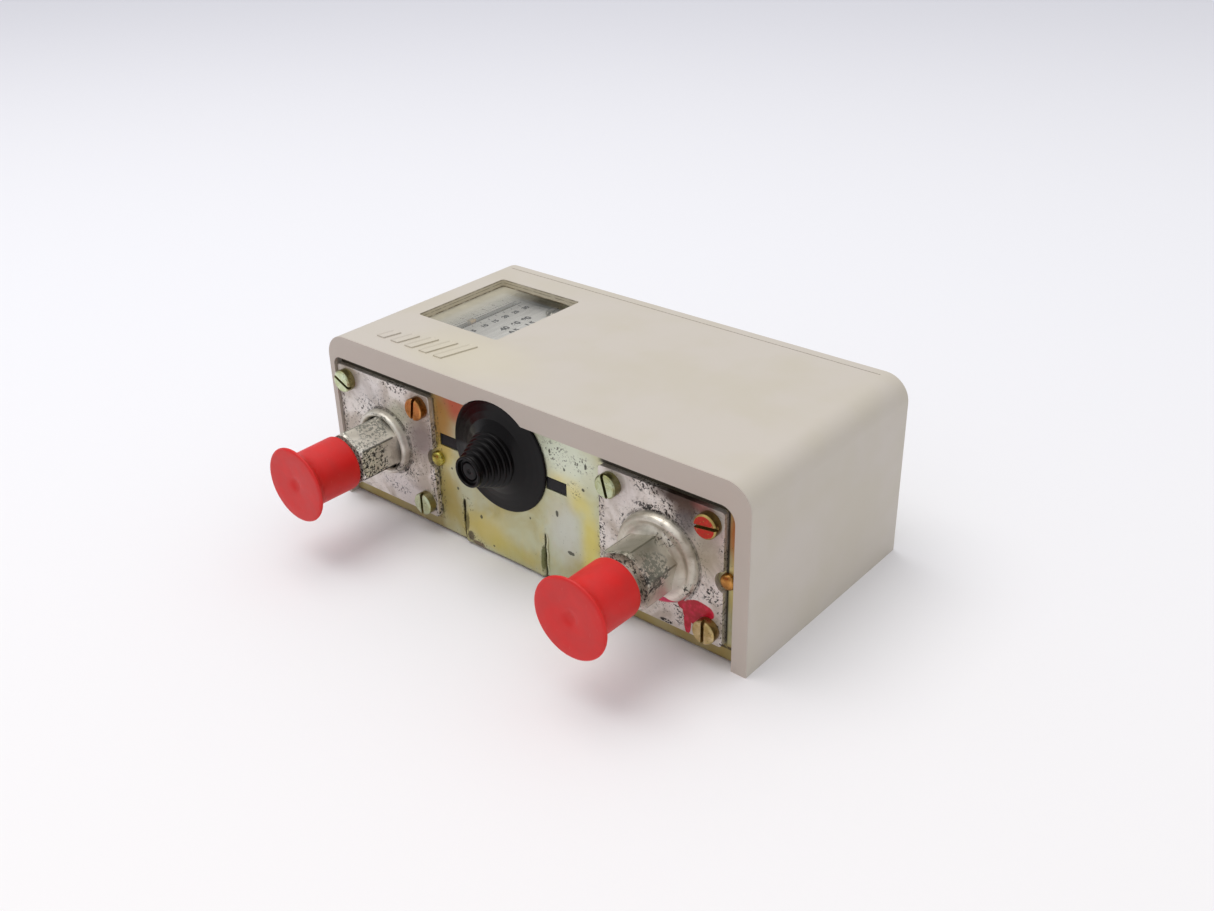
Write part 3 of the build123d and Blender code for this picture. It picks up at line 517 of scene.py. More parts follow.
def dark_plastic(name, tone, rough):
    """Moulded plastic of a dark tone with a little dust."""
    m = Finish(name, srgb(*tone), rough)
    dusty = tuple(value + 14 for value in tone)
    dust = m.span(m.noise(2.5, 4, 0.6), 0.4, 0.75)
    m.put("Base Color", m.tones(m.mul(dust, 0.4), tone, dusty))
    m.put_rough(m.noise(1.2, 3), 0.2, rough - 0.1)
    m.put("Specular IOR Level", 0.25)
    m.bump(m.noise(0.3, 2), 0.01, 0.5)
    return m.mat


def scale_finish():
    """Anodised sheet with a brushed grain along its length."""
    m = Finish("scale_metal", srgb(212, 211, 206), 0.45, 0.1)
    grain = m.noise(0.5, 4, 0.6, 0.0, (1, 0.04, 1))
    m.put("Base Color", m.tones(m.span(grain, 0.3, 0.7), (210, 208, 203), (190, 188, 182)))
    m.put_rough(grain, 0.2, 0.35)
    m.bump(grain, 0.005, 0.4)
    return m.mat


def ink_finish():
    """Black print, slightly worn."""
    m = Finish("scale_ink", srgb(16, 16, 18), 0.6)
    m.put("Base Color", m.tones(m.span(m.noise(0.4, 2), 0.4, 0.7), (14, 14, 16), (44, 45, 48)))
    return m.mat


def lacquered(m, tint, blots, color=(176, 6, 34)):
    """Adds glossy lacquer inside a few joined ellipsoids to a metal finish."""
    share = None
    for centre, radii in blots:
        part = m.spot(centre, radii, 0.10, 0.22, 1.4)
        share = part if share is None else m.most(share, part)
    worn = m.mix(m.span(m.noise(1.2, 3), 0.4, 0.7), srgb(*color), srgb(208, 30, 66))
    m.put("Base Color", m.mix(share, tint, worn))
    for name, level in (("Metallic", 0.0), ("Roughness", 0.28)):
        before = m.shader.inputs[name].links[0].from_socket
        m.put(name, m.add(m.mul(before, m.less(1.0, share)), m.mul(share, level)))
    m.bump(share, 0.08, 0.8)
    return m.mat


def stained(m, tint, patches):
    """Lays soft tints over a plate. Each patch is ((x, z), half width and height, amount, colour), in mm."""
    for place, radii, amount, color in patches:
        tint = m.over(tint, color, spot_on(m, PLATE_FACE, place, radii, 3, 1.2, 0.7, 3), amount)
    return tint


def dark_ring(m, tint, axis, inner, outer, amount, low=None):
    """Broken dark dirt between two radii in mm about a port. low keeps it within so many mm of the plate."""
    ring = m.band(m.reach(axis), inner * MM, outer * MM, 0.18 * MM)
    broken = m.span(m.noise(1.1, 4, 0.7, 0.0, None, (2, 7, 1)), 0.36, 0.56)
    share = m.mul(m.mul(ring, broken), amount)
    if low:
        level, soft = PLATE_FACE - low * MM, 0.35 * MM
        share = m.mul(share, m.span(m.axis("y"), level - soft, level + soft))
    return m.over(tint, (48, 40, 32), share)


def plate_finish(side, axis):
    """The plate's zinc, with speckles round the port and, on the high side, lacquer and a smear."""
    marks = [
        (0, 0, 0, 12, 9, 12, 0.55),
        (16, 0, -4, 1.3, 3, 14, 1.0 if side == "low" else 0.5),
        (-16, 0, -2, 1.4, 3, 14, 1.0),
    ]
    if side == "low":
        marks += [
            (-5, 0, 8.2, 2.2, 3, 1.4, 0.9),
            (4.5, 0, 15.4, 4.5, 3, 1.2, 1.0),
            (6.4, 0, -6.4, 1.6, 3, 1.2, 1.0),
            (2.5, 0, -12.6, 4.0, 3, 1.1, 0.9),
        ]
        m, tint = zinc_finish("low_plate_zinc", near_port(axis, marks))
        tint = stained(m, tint, (
            ((-39.5, 29), (3.4, 3), 0.6, (182, 182, 158)),
            ((-32, 24.5), (3.8, 4.5), 0.9, (152, 139, 136)),
            ((-50, 32), (6, 4), 0.4, (206, 202, 204)),
            ((-40, 9), (7, 3.5), 0.4, (202, 196, 198)),
        ))
        m.put("Base Color", dark_ring(m, tint, axis, 8.45, 8.95, 0.7))
        return m.mat
    marks += [
        (-3.6, 0, 15.4, 4.2, 3, 1.6, 1.0),
        (-2.2, 0, 10.7, 4.6, 3, 0.8, 1.7),
        (5.5, 0, 12.5, 5.0, 3, 3.6, 1.0),
        (13.2, 0, -4.3, 1.9, 3, 1.9, 1.1),
        (1.8, 0, -15.6, 1.6, 3, 0.5, 1.7),
        (5.6, 0, -12.6, 1.5, 3, 2.4, 1.0),
    ]
    m, tint = zinc_finish("high_plate_zinc", near_port(axis, marks))
    tint = stained(m, tint, (
        ((45, 36.2), (6.5, 1.7), 1.0, (62, 46, 38)),
        ((46.5, 34.3), (3.6, 2.2), 0.9, (84, 66, 56)),
        ((46.5, 31), (2.6, 2.6), 0.75, (108, 102, 104)),
        ((51.5, 25.5), (3.4, 4.5), 0.6, (184, 175, 150)),
        ((30, 33), (5, 4), 0.35, (212, 204, 204)),
        ((51, 36), (2.5, 1.2), 0.5, (170, 96, 90)),
    ))
    tint = dark_ring(m, tint, axis, 10.45, 10.9, 0.6)
    return lacquered(m, tint, near_port(axis, (
        (10.6, 0, -9.0, 3.7, 4, 2.0),
        (9.4, 0, -10.9, 3.3, 4, 2.6),
        (7.2, 0, -9.7, 2.3, 4, 1.3),
        (7.5, 0, -13.4, 0.95, 4, 3.1),
    )))


def port_finish(side, axis):
    """The connector's zinc, with dark lines along the edges of its hexagon and, on the high side, a painted
    reflection and painted shade on its facets.
    """
    name = side + "_port_zinc"
    if side == "low":
        marks = near_port(axis, (
            (1, -5.5, 6, 4.5, 4.0, 3, 1.25),
            (6, -10.5, -1, 5, 4.6, 7, 1.12),
            (0, -13, 0, 8, 1.2, 8, 1.2),
            (6.2, -2, -5.2, 2.2, 2.5, 1.8, 1.0),
        ))
        m, tint = zinc_finish(name, marks, (226, 220, 211), (184, 175, 164), 0.58, 0.3)
        tint = hexagon_lines(m, tint, axis, 7.16 * MM)
        green = m.span(m.axis("z"), axis.z + 3 * MM, axis.z + 5 * MM)
        tint = m.over(tint, (212, 212, 196), green, 0.3)
        tint = dark_ring(m, tint, axis, 3, 7.0, 0.95, 1.55)
        m.put("Base Color", dark_ring(m, tint, axis, 8.2, 8.6, 0.8, 0.5))
        return m.mat
    marks = near_port(axis, (
        (6, -8.2, 3, 4.5, 3.4, 4.5, 1.5),
        (0, -11.4, 0, 8, 0.9, 8, 1.15),
        (5.6, -9.4, 2.4, 2.9, 2.1, 3.2, 2.1),
        (9.4, -1, -4.6, 1.8, 3, 2.4, 1.0),
        (4, -3, 7, 3.0, 2, 1.6, 0.9),
    ))
    m, tint = zinc_finish(name, marks, (224, 217, 205), (176, 166, 151), 0.58, 0.28, 0.78)
    tint = hexagon_lines(m, tint, axis, 7.22 * MM)
    green = m.span(m.noise(6, 2, 0.5, 0.0, None, (4, 4, 4)), 0.40, 0.55)
    tint = m.over(tint, (172, 170, 152), green, 0.4)
    # On the hexagon: a painted reflection of the floor lightening its lower facet, a brown stain, and painted
    # shade darkening its top facet.
    for centre, radii, ragged, amount, color in near_port(axis, (
        (4, -8, -6.5, 5, 7, 3.5, 0.4, 0.6, (232, 218, 210)),
        (7.6, -2.5, 4, 2.4, 3, 4.5, 0.5, 0.45, (150, 130, 108)),
        (-1, -8, 7.4, 6.5, 6, 2.6, 0.6, 0.6, (122, 120, 100)),
    )):
        tint = m.over(tint, color, m.spot(centre, radii, 0.8, ragged, 2), amount)
    tint = dark_ring(m, tint, axis, 10.2, 10.6, 0.5, 0.5)
    return lacquered(m, tint, near_port(axis, ((3.4, -1.2, -9.1, 3.9, 2.2, 1.15),)), (200, 26, 88))


def hexagon_lines(m, tint, axis, corner):
    """Broken dark lines along a hexagon's edges, whose distance from the axis is corner."""
    edges = m.mul(m.band(m.reach(axis), corner - 0.13 * MM, corner + 0.3 * MM, 0.03 * MM),
                  m.span(m.axis("y"), PLATE_FACE - 3.0 * MM, PLATE_FACE - 3.4 * MM))
    edges = m.mul(edges, m.span(m.noise(1.4, 3, 0.6), 0.22, 0.42))
    return m.over(tint, (34, 29, 23), edges, 0.88)


def painted_screw_finish():
    """A yellow-plated screw head whose flat face still carries red paint, and whose sides are painted darker
    as shade.
    """
    m = Finish("painted_screw", srgb(176, 158, 92), 0.35, 0.85)
    outward = m.facing("y")
    worn = m.span(m.noise(0.9, 3, 0.6), 0.33, 0.42)
    share = m.mul(m.span(outward, -0.85, -0.97), worn)
    share = m.mul(share, m.span(m.axis("y"), HEAD_FACE + 0.6 * MM, HEAD_FACE + 0.3 * MM))
    # Painted shade: the faces that don't look outward take a dark brown.
    plated_with_side_shade = m.tones(m.span(outward, -0.85, -0.4), (182, 160, 98), (106, 84, 42))
    red = m.tones(m.span(m.noise(0.6, 3), 0.4, 0.65), (190, 44, 34), (168, 52, 36))
    m.put("Base Color", m.mix(share, plated_with_side_shade, red))
    m.put("Metallic", m.less(0.85, m.mul(share, 0.85)))
    m.put_rough(m.noise(1, 3), 0.2, 0.28)
    m.bump(m.noise(0.3, 3), 0.01, 0.5)
    return m.mat


def make_finishes():
    """Every finish by its name."""
    made = {
        "cover_plastic": cover_finish(),
        "clear_plastic": lens_finish(),
        "chromated_steel": chromate_finish(),
        "painted_screw": painted_screw_finish(),
        "grommet_rubber": rubber_finish(),
        "cap_plastic": cap_finish(),
        "black_plastic": dark_plastic("black_plastic", (13, 11, 15), 0.45),
        "base_plastic": dark_plastic("base_plastic", (58, 46, 38), 0.5),
        "scale_metal": scale_finish(),
        "scale_ink": ink_finish(),
    }
    for side, axis in SIDES:
        made[side + "_plate"] = plate_finish(side, axis)
        made[side + "_port"] = port_finish(side, axis)
    # Each row: name, light and dark tones, roughness and, for the screws, the painted shade colour of the
    # head sides.
    for name, *look in (
        ("green_screw", (212, 222, 192), (186, 192, 146), 0.28, (122, 106, 52)),
        ("olive_screw", (192, 200, 168), (160, 162, 112), 0.28, (104, 96, 48)),
        ("gold_screw", (214, 150, 88), (170, 108, 54), 0.28, (112, 72, 30)),
        ("straw_screw", (222, 202, 152), (186, 162, 104), 0.28, (120, 92, 42)),
        ("gold_rivet", (204, 148, 78), (148, 98, 44), 0.28),
        ("green_rivet", (200, 190, 96), (138, 122, 50), 0.26),
        ("plated_brass", (190, 176, 120), (132, 112, 66), 0.35),
        ("brass", (206, 168, 96), (150, 108, 52), 0.3),
        ("tinned_brass", (196, 194, 184), (150, 146, 134), 0.32),
        ("bellows_bronze", (196, 146, 96), (140, 92, 54), 0.34),
        ("spring_steel", (150, 150, 152), (96, 94, 92), 0.36),
        ("arm_steel", (188, 186, 176), (142, 138, 126), 0.4),
        ("contact_silver", (222, 222, 218), (176, 174, 168), 0.25),
    ):
        made[name] = simple_metal(name, *look)
    return made


# ---- mesh helpers

def smooth(mesh, angle=35):
    mesh.polygons.foreach_set("use_smooth", [True] * len(mesh.polygons))
    mesh.set_sharp_from_angle(angle=math.radians(angle))


def piece(name, bm, finish, slot, body, *replaced, angle=35):
    """Makes an object of a bmesh and gives it its finish, body and the nodes that it stands for. slot is not
    used.
    """
    bmesh.ops.recalc_face_normals(bm, faces=bm.faces)
    mesh = bpy.data.meshes.new(name)
    bm.to_mesh(mesh)
    bm.free()
    smooth(mesh, angle)
    made = bpy.data.objects.new(name, mesh)
    scene.collection.objects.link(made)
    mesh.materials.append(finishes[finish])
    if body:
        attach(made, body)
    if replaced:
        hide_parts(*replaced)
    return made


def cad_copy(node):
    """A clean copy of a CAD node's mesh: welded, with its flat faces joined."""
    bm = bmesh.new()
    bm.from_mesh(nodes[node].data)
    bmesh.ops.remove_doubles(bm, verts=bm.verts, dist=WELD)
    bmesh.ops.dissolve_limit(bm, angle_limit=FLAT, verts=bm.verts, edges=bm.edges)
    return bm


def softened(made, width):
    """Rounds an object's sharp edges and keeps its large faces flat."""
    edge = made.modifiers.new("edges", "BEVEL")
    edge.width = width
    edge.segments = 2
    edge.limit_method = "ANGLE"
    edge.angle_limit = math.radians(28)
    edge.miter_outer = "MITER_ARC"
    even = made.modifiers.new("normals", "WEIGHTED_NORMAL")
    even.keep_sharp = True


def refined(node, width, finish, slot=None):
    """A CAD node's own shape with rounded edges."""
    body = nodes[node]["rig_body"]
    made = piece(node + "_detail", cad_copy(node), finish, slot or finish, body, node, angle=60)
    softened(made, width)


def make_cover():
    """The cover with its raised mark as a second piece, so that the top stays one plain face."""
    shell = bmesh.new()
    shell.from_mesh(nodes["cover"].data)
    bmesh.ops.remove_doubles(shell, verts=shell.verts, dist=WELD)
    mark = shell.copy()
    level = COVER_TOP + 0.03 * MM
    above = [f for f in shell.faces if f.calc_center_median().z > level]
    bmesh.ops.delete(shell, geom=above, context="FACES")
    closed(shell)
    beyond = Vector((1, 1, 0)) * MM
    for way in ((1, 0, 0), (0, 1, 0)):
        for place in (WINDOW_LOW - beyond, WINDOW_HIGH + beyond):
            everything = shell.verts[:] + shell.edges[:] + shell.faces[:]
            bmesh.ops.bisect_plane(shell, geom=everything, plane_co=place, plane_no=way, dist=1e-7)
    made = piece("cover_shell", shell, "cover_plastic", "cover_plastic", "cover", "cover", angle=60)
    softened(made, 0.35 * MM)

    below = [f for f in mark.faces if f.calc_center_median().z < level]
    bmesh.ops.delete(mark, geom=below, context="FACES")
    for vert in {v for e in mark.edges if e.is_boundary for v in e.verts}:
        vert.co.z -= 0.2 * MM
    closed(mark)
    tops = [f for f in mark.faces if f.normal.z > 0.9]
    bmesh.ops.inset_individual(mark, faces=tops, thickness=0.5 * MM)
    for vert in {v for f in tops for v in f.verts}:
        vert.co.z -= 0.3 * MM
    made = piece("cover_mark", mark, "cover_plastic", "cover_plastic", "cover", angle=60)
    softened(made, 0.12 * MM)


def closed(bm):
    """Fills open edges and joins flat faces."""
    bmesh.ops.holes_fill(bm, edges=[e for e in bm.edges if e.is_boundary])
    bmesh.ops.dissolve_limit(bm, angle_limit=FLAT, verts=bm.verts, edges=bm.edges)


def about(axis, radius, angle, y):
    """The point at a radius and an angle about a line along Y."""
    return axis.x + radius * math.cos(angle), y, axis.z + radius * math.sin(angle)


def past(face, points):
    """An outline in metres, from points of (radius, distance past a face at Y) in mm."""
    return [(radius * MM, face + along * MM) for radius, along in points]


def skin(bm, rings):
    """A closed body whose wall joins rings that have equally many vertices."""
    count = len(rings[0])
    for first, second in zip(rings, rings[1:]):
        for step in range(count):
            following = (step + 1) % count
            bm.faces.new((first[step], first[following], second[following], second[step]))
    bm.faces.new(rings[0])
    bm.faces.new(rings[-1])


def lathe(bm, profile, axis, steps=96, wobble=0.0):
    """Turns a closed outline of (radius, y) about a line along Y. wobble makes the body slightly oval."""
    rings = []
    for radius, y in profile:
        if radius < 1e-7:
            rings.append([bm.verts.new((axis.x, y, axis.z))] * steps)
            continue
        ring = []
        for step in range(steps):
            turn = math.tau * step / steps
            ring.append(bm.verts.new(about(axis, radius * (1 + wobble * math.sin(2 * turn + 0.6)), turn, y)))
        rings.append(ring)
    for first, second in zip(rings, rings[1:] + rings[:1]):
        for step in range(steps):
            following = (step + 1) % steps
            corners = (first[step], first[following], second[following], second[step])
            corners = list(dict.fromkeys(corners))
            if len(corners) > 2:
                bm.faces.new(corners)
    return bm


def rounded(points, radius, steps=4):
    """A closed outline with each corner that is off the axis cut by a small curve."""
    out = []
    for index, point in enumerate(points):
        here = Vector(point)
        before, after = Vector(points[index - 1]), Vector(points[(index + 1) % len(points)])
        reach_in, reach_out = (before - here).length / 2, (after - here).length / 2
        if min(here.x, reach_in, reach_out) < 1e-7:
            out.append(tuple(here))
            continue
        start = here + (before - here).normalized() * min(radius, reach_in * 0.95)
        stop = here + (after - here).normalized() * min(radius, reach_out * 0.95)
        for step in range(steps + 1):
            t = step / steps
            out.append(tuple(start * (1 - t) ** 2 + here * 2 * t * (1 - t) + stop * t * t))
    return out


def tube(bm, path, radius, sides=14):
    """A closed round tube along a list of points."""
    rings = []
    side = Vector((1, 0, 0))
    for index, point in enumerate(path):
        ahead = path[min(index + 1, len(path) - 1)] - path[max(index - 1, 0)]
        ahead.normalize()
        side = (side - ahead * side.dot(ahead)).normalized()
        up = ahead.cross(side)
        ring = []
        for step in range(sides):
            turn = math.tau * step / sides
            ring.append(bm.verts.new(point + side * radius * math.cos(turn) + up * radius * math.sin(turn)))
        rings.append(ring)
    skin(bm, rings)


def coil_path(axis, start, stop, mean, wire, turns):
    """A compression spring's centreline, with a closed turn at each end."""
    points, steps = [], 28
    total = turns * steps
    for step in range(total + 1):
        turn = step / steps
        inner = min(max((turn - 1) / (turns - 2), 0), 1)
        ends = 2 * wire * (min(turn, 1) + max(turn - turns + 1, 0))
        y = start + wire + ends + inner * (stop - start - 2 * wire - 4 * wire)
        points.append(Vector(about(axis, mean, math.tau * turn, y)))
    return points


def thread(bm, axis, radius, depth, pitch, start, stop, steps=48, rows=8):
    """A rod with a helical V thread, closed at both ends. start and stop are Y places.
    The crests and roots are a little flat, and one pitch at each end is plain and turned down."""
    blunt = 0.125
    way = 1 if stop > start else -1
    count = int(abs(stop - start) / pitch * rows)
    rings = []
    for row in range(count + 1):
        y = start + (stop - start) * row / count
        fade = min(row, count - row) / rows
        ring = []
        for step in range(steps):
            turn = step / steps
            phase = (way * (y - start) / pitch - turn) % 1.0
            groove = max((1 - abs(2 * phase - 1)) * (1 + 2 * blunt) - blunt, 0)
            share = groove if fade >= 1 else 0.6 - 0.1 * fade
            ring.append(bm.verts.new(about(axis, radius - depth * share, math.tau * turn, y)))
        rings.append(ring)
    skin(bm, rings)


# ---- outside pieces

def make_cap(side, axis):
    """A push-on cap: thin-walled cup with a wide outer disc, dished and dimpled in its middle."""
    name = side + "_cap"
    low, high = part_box(name)
    body, bore, disc = 6.8, 5.7, (high.x - low.x) / 2 / MM
    outline = [(bore * MM, high.y), (body * MM, high.y)] + past(low.y, [
        (body * 0.985, 4.2), (body + 0.15, 2.7), (body + 1.1, 1.55), (disc - 0.5, 1.0),
        (disc, 0.55), (disc - 0.35, 0.02), (disc - 2.6, 0), (3.4, 0.18), (1.9, 0.3),
        (1.0, 0.75), (0, 0.85), (0, 1.5), (bore - 0.8, 1.5), (bore, 2.2),
    ])
    bm = lathe(bmesh.new(), rounded(outline, 0.7 * MM, 4), axis, 96, 0.006)
    return piece(name + "_shell", bm, "cap_plastic", "cap_plastic", name, name, angle=60)


def make_grommet():
    """The stepped cone: a dished flange, sharp rings and a tip with a small disc in its recess."""
    low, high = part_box("cable_grommet")
    tip, inside, cone = low.y, high.y, -31.3 * MM
    rim, rings, foot, top = 14.15, 6, 6.85, 3.85
    outline = past(FLANGE_FACE, [
        (rim, 0), (rim, -0.35), (rim - 0.25, -0.62), (12.6, -0.72), (11.0, -0.95), (9.2, -1.35),
        (7.6, -2.0),
    ])
    step = (tip + 0.4 * MM - cone) / rings
    for index in range(rings):
        radius = foot + (top - foot) * index / (rings - 1)
        start = cone + step * index
        for inset, share in ((0.55, 0.05), (0.08, 0.34), (0, 0.52), (0.1, 0.70), (0.75, 0.84)):
            outline.append(((radius - inset) * MM, start + share * step))
    outline[-1] = ((top - 0.05) * MM, tip + 0.35 * MM)
    outline += past(tip, [
        (top - 0.25, 0.02), (top - 0.6, 0), (3.05, 0.25), (2.95, 1.15), (2.25, 1.2), (2.1, 0.8),
        (1.9, 0.7), (0.6, 0.68), (0.4, 0.95), (0, 1.0), (0, 2.0), (2.2, 2.0),
    ])
    outline += [(4.6 * MM, cone), (9.5 * MM, FLANGE_FACE - 0.35 * MM)]
    outline += past(inside, [(9.5, 0), (12.2, 0), (12.2, -1.6), (11.0, -1.6)])
    outline.append((11.0 * MM, FLANGE_FACE))
    bm = lathe(bmesh.new(), rounded(outline, 0.16 * MM, 3), GROMMET_AXIS, 144)
    return piece("grommet_cone", bm, "grommet_rubber", "grommet_rubber", "case", "cable_grommet", angle=50)


def tongue_point(x, z, edge):
    """The front of the tongue at x and z, where edge is the distance to the nearer slit."""
    lift = min(max((13.5 * MM - z) / (10 * MM), 0), 1)
    lift = 0.62 * MM * lift * lift * (3 - 2 * lift)
    raised = min(lift / (0.3 * MM), 1)
    bend = 1.4 * MM
    drop = bend - math.sqrt(max(bend ** 2 - max(bend - z, 0) ** 2, 0))
    roll = 0.22 * MM * math.exp(-((edge - 0.5 * MM) / (0.55 * MM)) ** 2)
    side = 0.35 * MM * max(1 - edge / (0.4 * MM), 0) ** 2
    wave = 0.05 * MM * math.sin(x / (3.1 * MM) + 2.0 * z / (5 * MM))
    return FLANGE_FACE - 0.01 * MM - lift + drop + min(side, lift) - (roll + wave) * raised


def make_tongue():
    """The lanced tongue of the end flange: pushed out at its foot, with a rolled edge along each slit."""
    left, right, bottom, top = -19.68 * MM, 5.68 * MM, 0.05 * MM, 14.5 * MM
    columns, rows = 56, 36
    bm = bmesh.new()
    front, back = [], []
    for row in range(rows + 1):
        z = bottom + (top - bottom) * row / rows
        line, behind = [], []
        for column in range(columns + 1):
            x = left + (right - left) * column / columns
            y = tongue_point(x, z, min(x - left, right - x))
            line.append(bm.verts.new((x, y, z)))
            behind.append(bm.verts.new((x, max(FLANGE_FACE + 0.4 * MM, y + 0.3 * MM), z)))
        front.append(line)
        back.append(behind)
    for grid in (front, back):
        for first, second in zip(grid, grid[1:]):
            for column in range(columns):
                bm.faces.new((first[column], first[column + 1], second[column + 1], second[column]))
    edges = [((row, column), (row + 1, column)) for row in range(rows) for column in (0, columns)]
    edges += [((row, column), (row, column + 1)) for column in range(columns) for row in (0, rows)]
    for (row, column), (row_to, column_to) in edges:
        bm.faces.new((front[row][column], front[row_to][column_to],
                      back[row_to][column_to], back[row][column]))
    for x, bulge in ((-20.62 * MM, 0.30 * MM), (6.55 * MM, 0.2 * MM)):
        tube(bm, slit_edge(x, bulge), 0.3 * MM, 12)
    return piece("frame_tongue", bm, "chromated_steel", "chromated_steel", "case", angle=50)


def slit_edge(x, bulge):
    """The line of the rolled edge beyond a slit, standing out by bulge at its middle."""
    path, steps = [], 24
    for step in range(steps + 1):
        z = (1.6 + 10.6 * step / steps) * MM
        sway = 0.12 * MM * math.sin(step * 0.7)
        out = bulge * math.sin(math.pi * step / steps) ** 0.6
        path.append(Vector((x + sway, FLANGE_FACE + 0.16 * MM - out, z)))
    return path


def hexagon(bm, axis, flats, turn, near, far, chamfer):
    """A hexagonal bar whose outer end is chamfered round, as a turned bar is."""
    corner, sides = flats / math.sqrt(3), 96
    shoulder = far + chamfer
    rings = []
    for y, limit in ((near, 2), (shoulder, 2), (far + chamfer * 0.45, 0.965), (far, 0.905)):
        ring = []
        for step in range(sides):
            angle = math.tau * step / sides
            fold = (angle + math.pi / 6) % (math.pi / 3) - math.pi / 6
            radius = min(flats / 2 / math.cos(fold), corner * limit)
            ring.append(bm.verts.new(about(axis, radius, angle + turn, y)))
        rings.append(ring)
    skin(bm, rings)


def make_port(side, axis, shoulder, flats, turn, far):
    """A connector: shoulder on the plate, hexagon, neck, thread and flare cone with its bore."""
    tip, thread_start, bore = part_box(side + "_connector")[0].y, -45.2 * MM, 2.4
    bm = bmesh.new()
    lathe(bm, rounded(past(PLATE_FACE, shoulder), 0.4 * MM, 4), axis, 128)
    hexagon(bm, axis, flats, turn, PLATE_FACE + 0.3 * MM, far, 1.0 * MM)
    lathe(bm, past(far, [(bore, 1), (4.5, 1)]) + past(thread_start, [(4.5, 0), (bore, 0)]), axis)
    thread(bm, axis, 5.55 * MM, 0.75 * MM, PORT_PITCH, thread_start, tip + 1.9 * MM, 64)
    lathe(bm, past(tip, [(bore, 2), (4.9, 2), (3.3, 0), (bore, 0), (2.2, 1)]), axis)
    name = side + "_port"
    return piece(name, bm, name, "zinc_steel", "case", side + "_connector", angle=32)


def make_ports():
    """The low side's shoulder is a rolled ring, and the high side's is a wide dome."""
    ring = [
        (0, 0.3), (8.35, 0.3), (8.3, -1.5), (8.0, -2.2), (7.5, -2.35), (7.1, -2.2), (6.8, -1.7),
        (6.5, -0.7), (0, -0.7),
    ]
    make_port("low", LOW_AXIS, ring, 12.4 * MM, math.radians(3.5), -43.45 * MM)
    dome = [
        (0, 0.3), (10.4, 0.3), (10.35, -0.8), (9.9, -1.75), (9.2, -2.15), (8.5, -2.0),
        (8.0, -2.05), (7.2, -2.75), (6.0, -3.15), (0, -3.2),
    ]
    make_port("high", HIGH_AXIS, dome, 12.5 * MM, math.radians(-12), -42.05 * MM)


def make_screws(side, axis, finish_list):
    """Splits a plate's four screws into single pieces, each turned and plated in its own way."""
    node = side + "_plate_screws"
    for name, dx, dz, finish, slot_angle in finish_list:
        bm = cad_copy(node)
        away = [v for v in bm.verts if (v.co.x - axis.x) * dx < 0 or (v.co.z - axis.z) * dz < 0]
        bmesh.ops.delete(bm, geom=away, context="VERTS")
        heart = Vector((axis.x + SCREW_REACH * dx, 0, axis.z + SCREW_REACH * dz))
        turn = Matrix.Rotation(math.radians(CAD_SLOT_ANGLE - slot_angle), 3, "Y")
        bmesh.ops.rotate(bm, verts=bm.verts, cent=heart, matrix=turn)
        made = piece(side + "_screw_" + name, bm, finish, "plated_brass", "case", node, angle=60)
        softened(made, 0.12 * MM)


def make_rivets():
    """Brass rivets with a low crowned head in each plate's notch."""
    low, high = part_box("plate_rivets")
    head, shank = 1.9, 1.2
    outline = past(low.y, [(0, 0), (0.8, 0.02), (1.5, 0.2), (1.85, 0.6)])
    outline += past(FLANGE_FACE, [(head, 0), (shank, 0)]) + past(high.y, [(shank, 0), (0, 0)])
    for side, x, finish in (
        ("low", low.x + head * MM, "green_rivet"),
        ("high", high.x - head * MM, "gold_rivet"),
    ):
        axis = Vector((x, 0, (low.z + high.z) / 2))
        bm = lathe(bmesh.new(), rounded(outline, 0.2 * MM, 3), axis, 40)
        piece(side + "_locating_rivet", bm, finish, "brass", "case", "plate_rivets", angle=50)


# ---- scale print

def add_text(bm, words, size, x, y):
    """Words read along +Y, centred at x and y on the scale plate."""
    curve = bpy.data.curves.new("words", "FONT")
    curve.body = words
    curve.size = size
    curve.align_x, curve.align_y = "CENTER", "CENTER"
    curve.offset = 0.045 * size
    curve.extrude = 0.012 * MM
    holder = bpy.data.objects.new("words", curve)
    mesh = bpy.data.meshes.new_from_object(holder)
    mesh.transform(Matrix.Translation((x, y, PRINT_LEVEL)) @ Matrix.Rotation(math.pi / 2, 4, "Z"))
    bm.from_mesh(mesh)
    bpy.data.objects.remove(holder)
    bpy.data.curves.remove(curve)
    bpy.data.meshes.remove(mesh)


def add_bar(bm, x, y, wide, long):
    """A printed mark, wide along X and long along Y."""
    made = bmesh.ops.create_cube(bm, size=1.0)
    place = Matrix.Translation((x, y, PRINT_LEVEL)) @ Matrix.Diagonal((wide, long, 0.025 * MM, 1))
    bmesh.ops.transform(bm, matrix=place, verts=made["verts"])


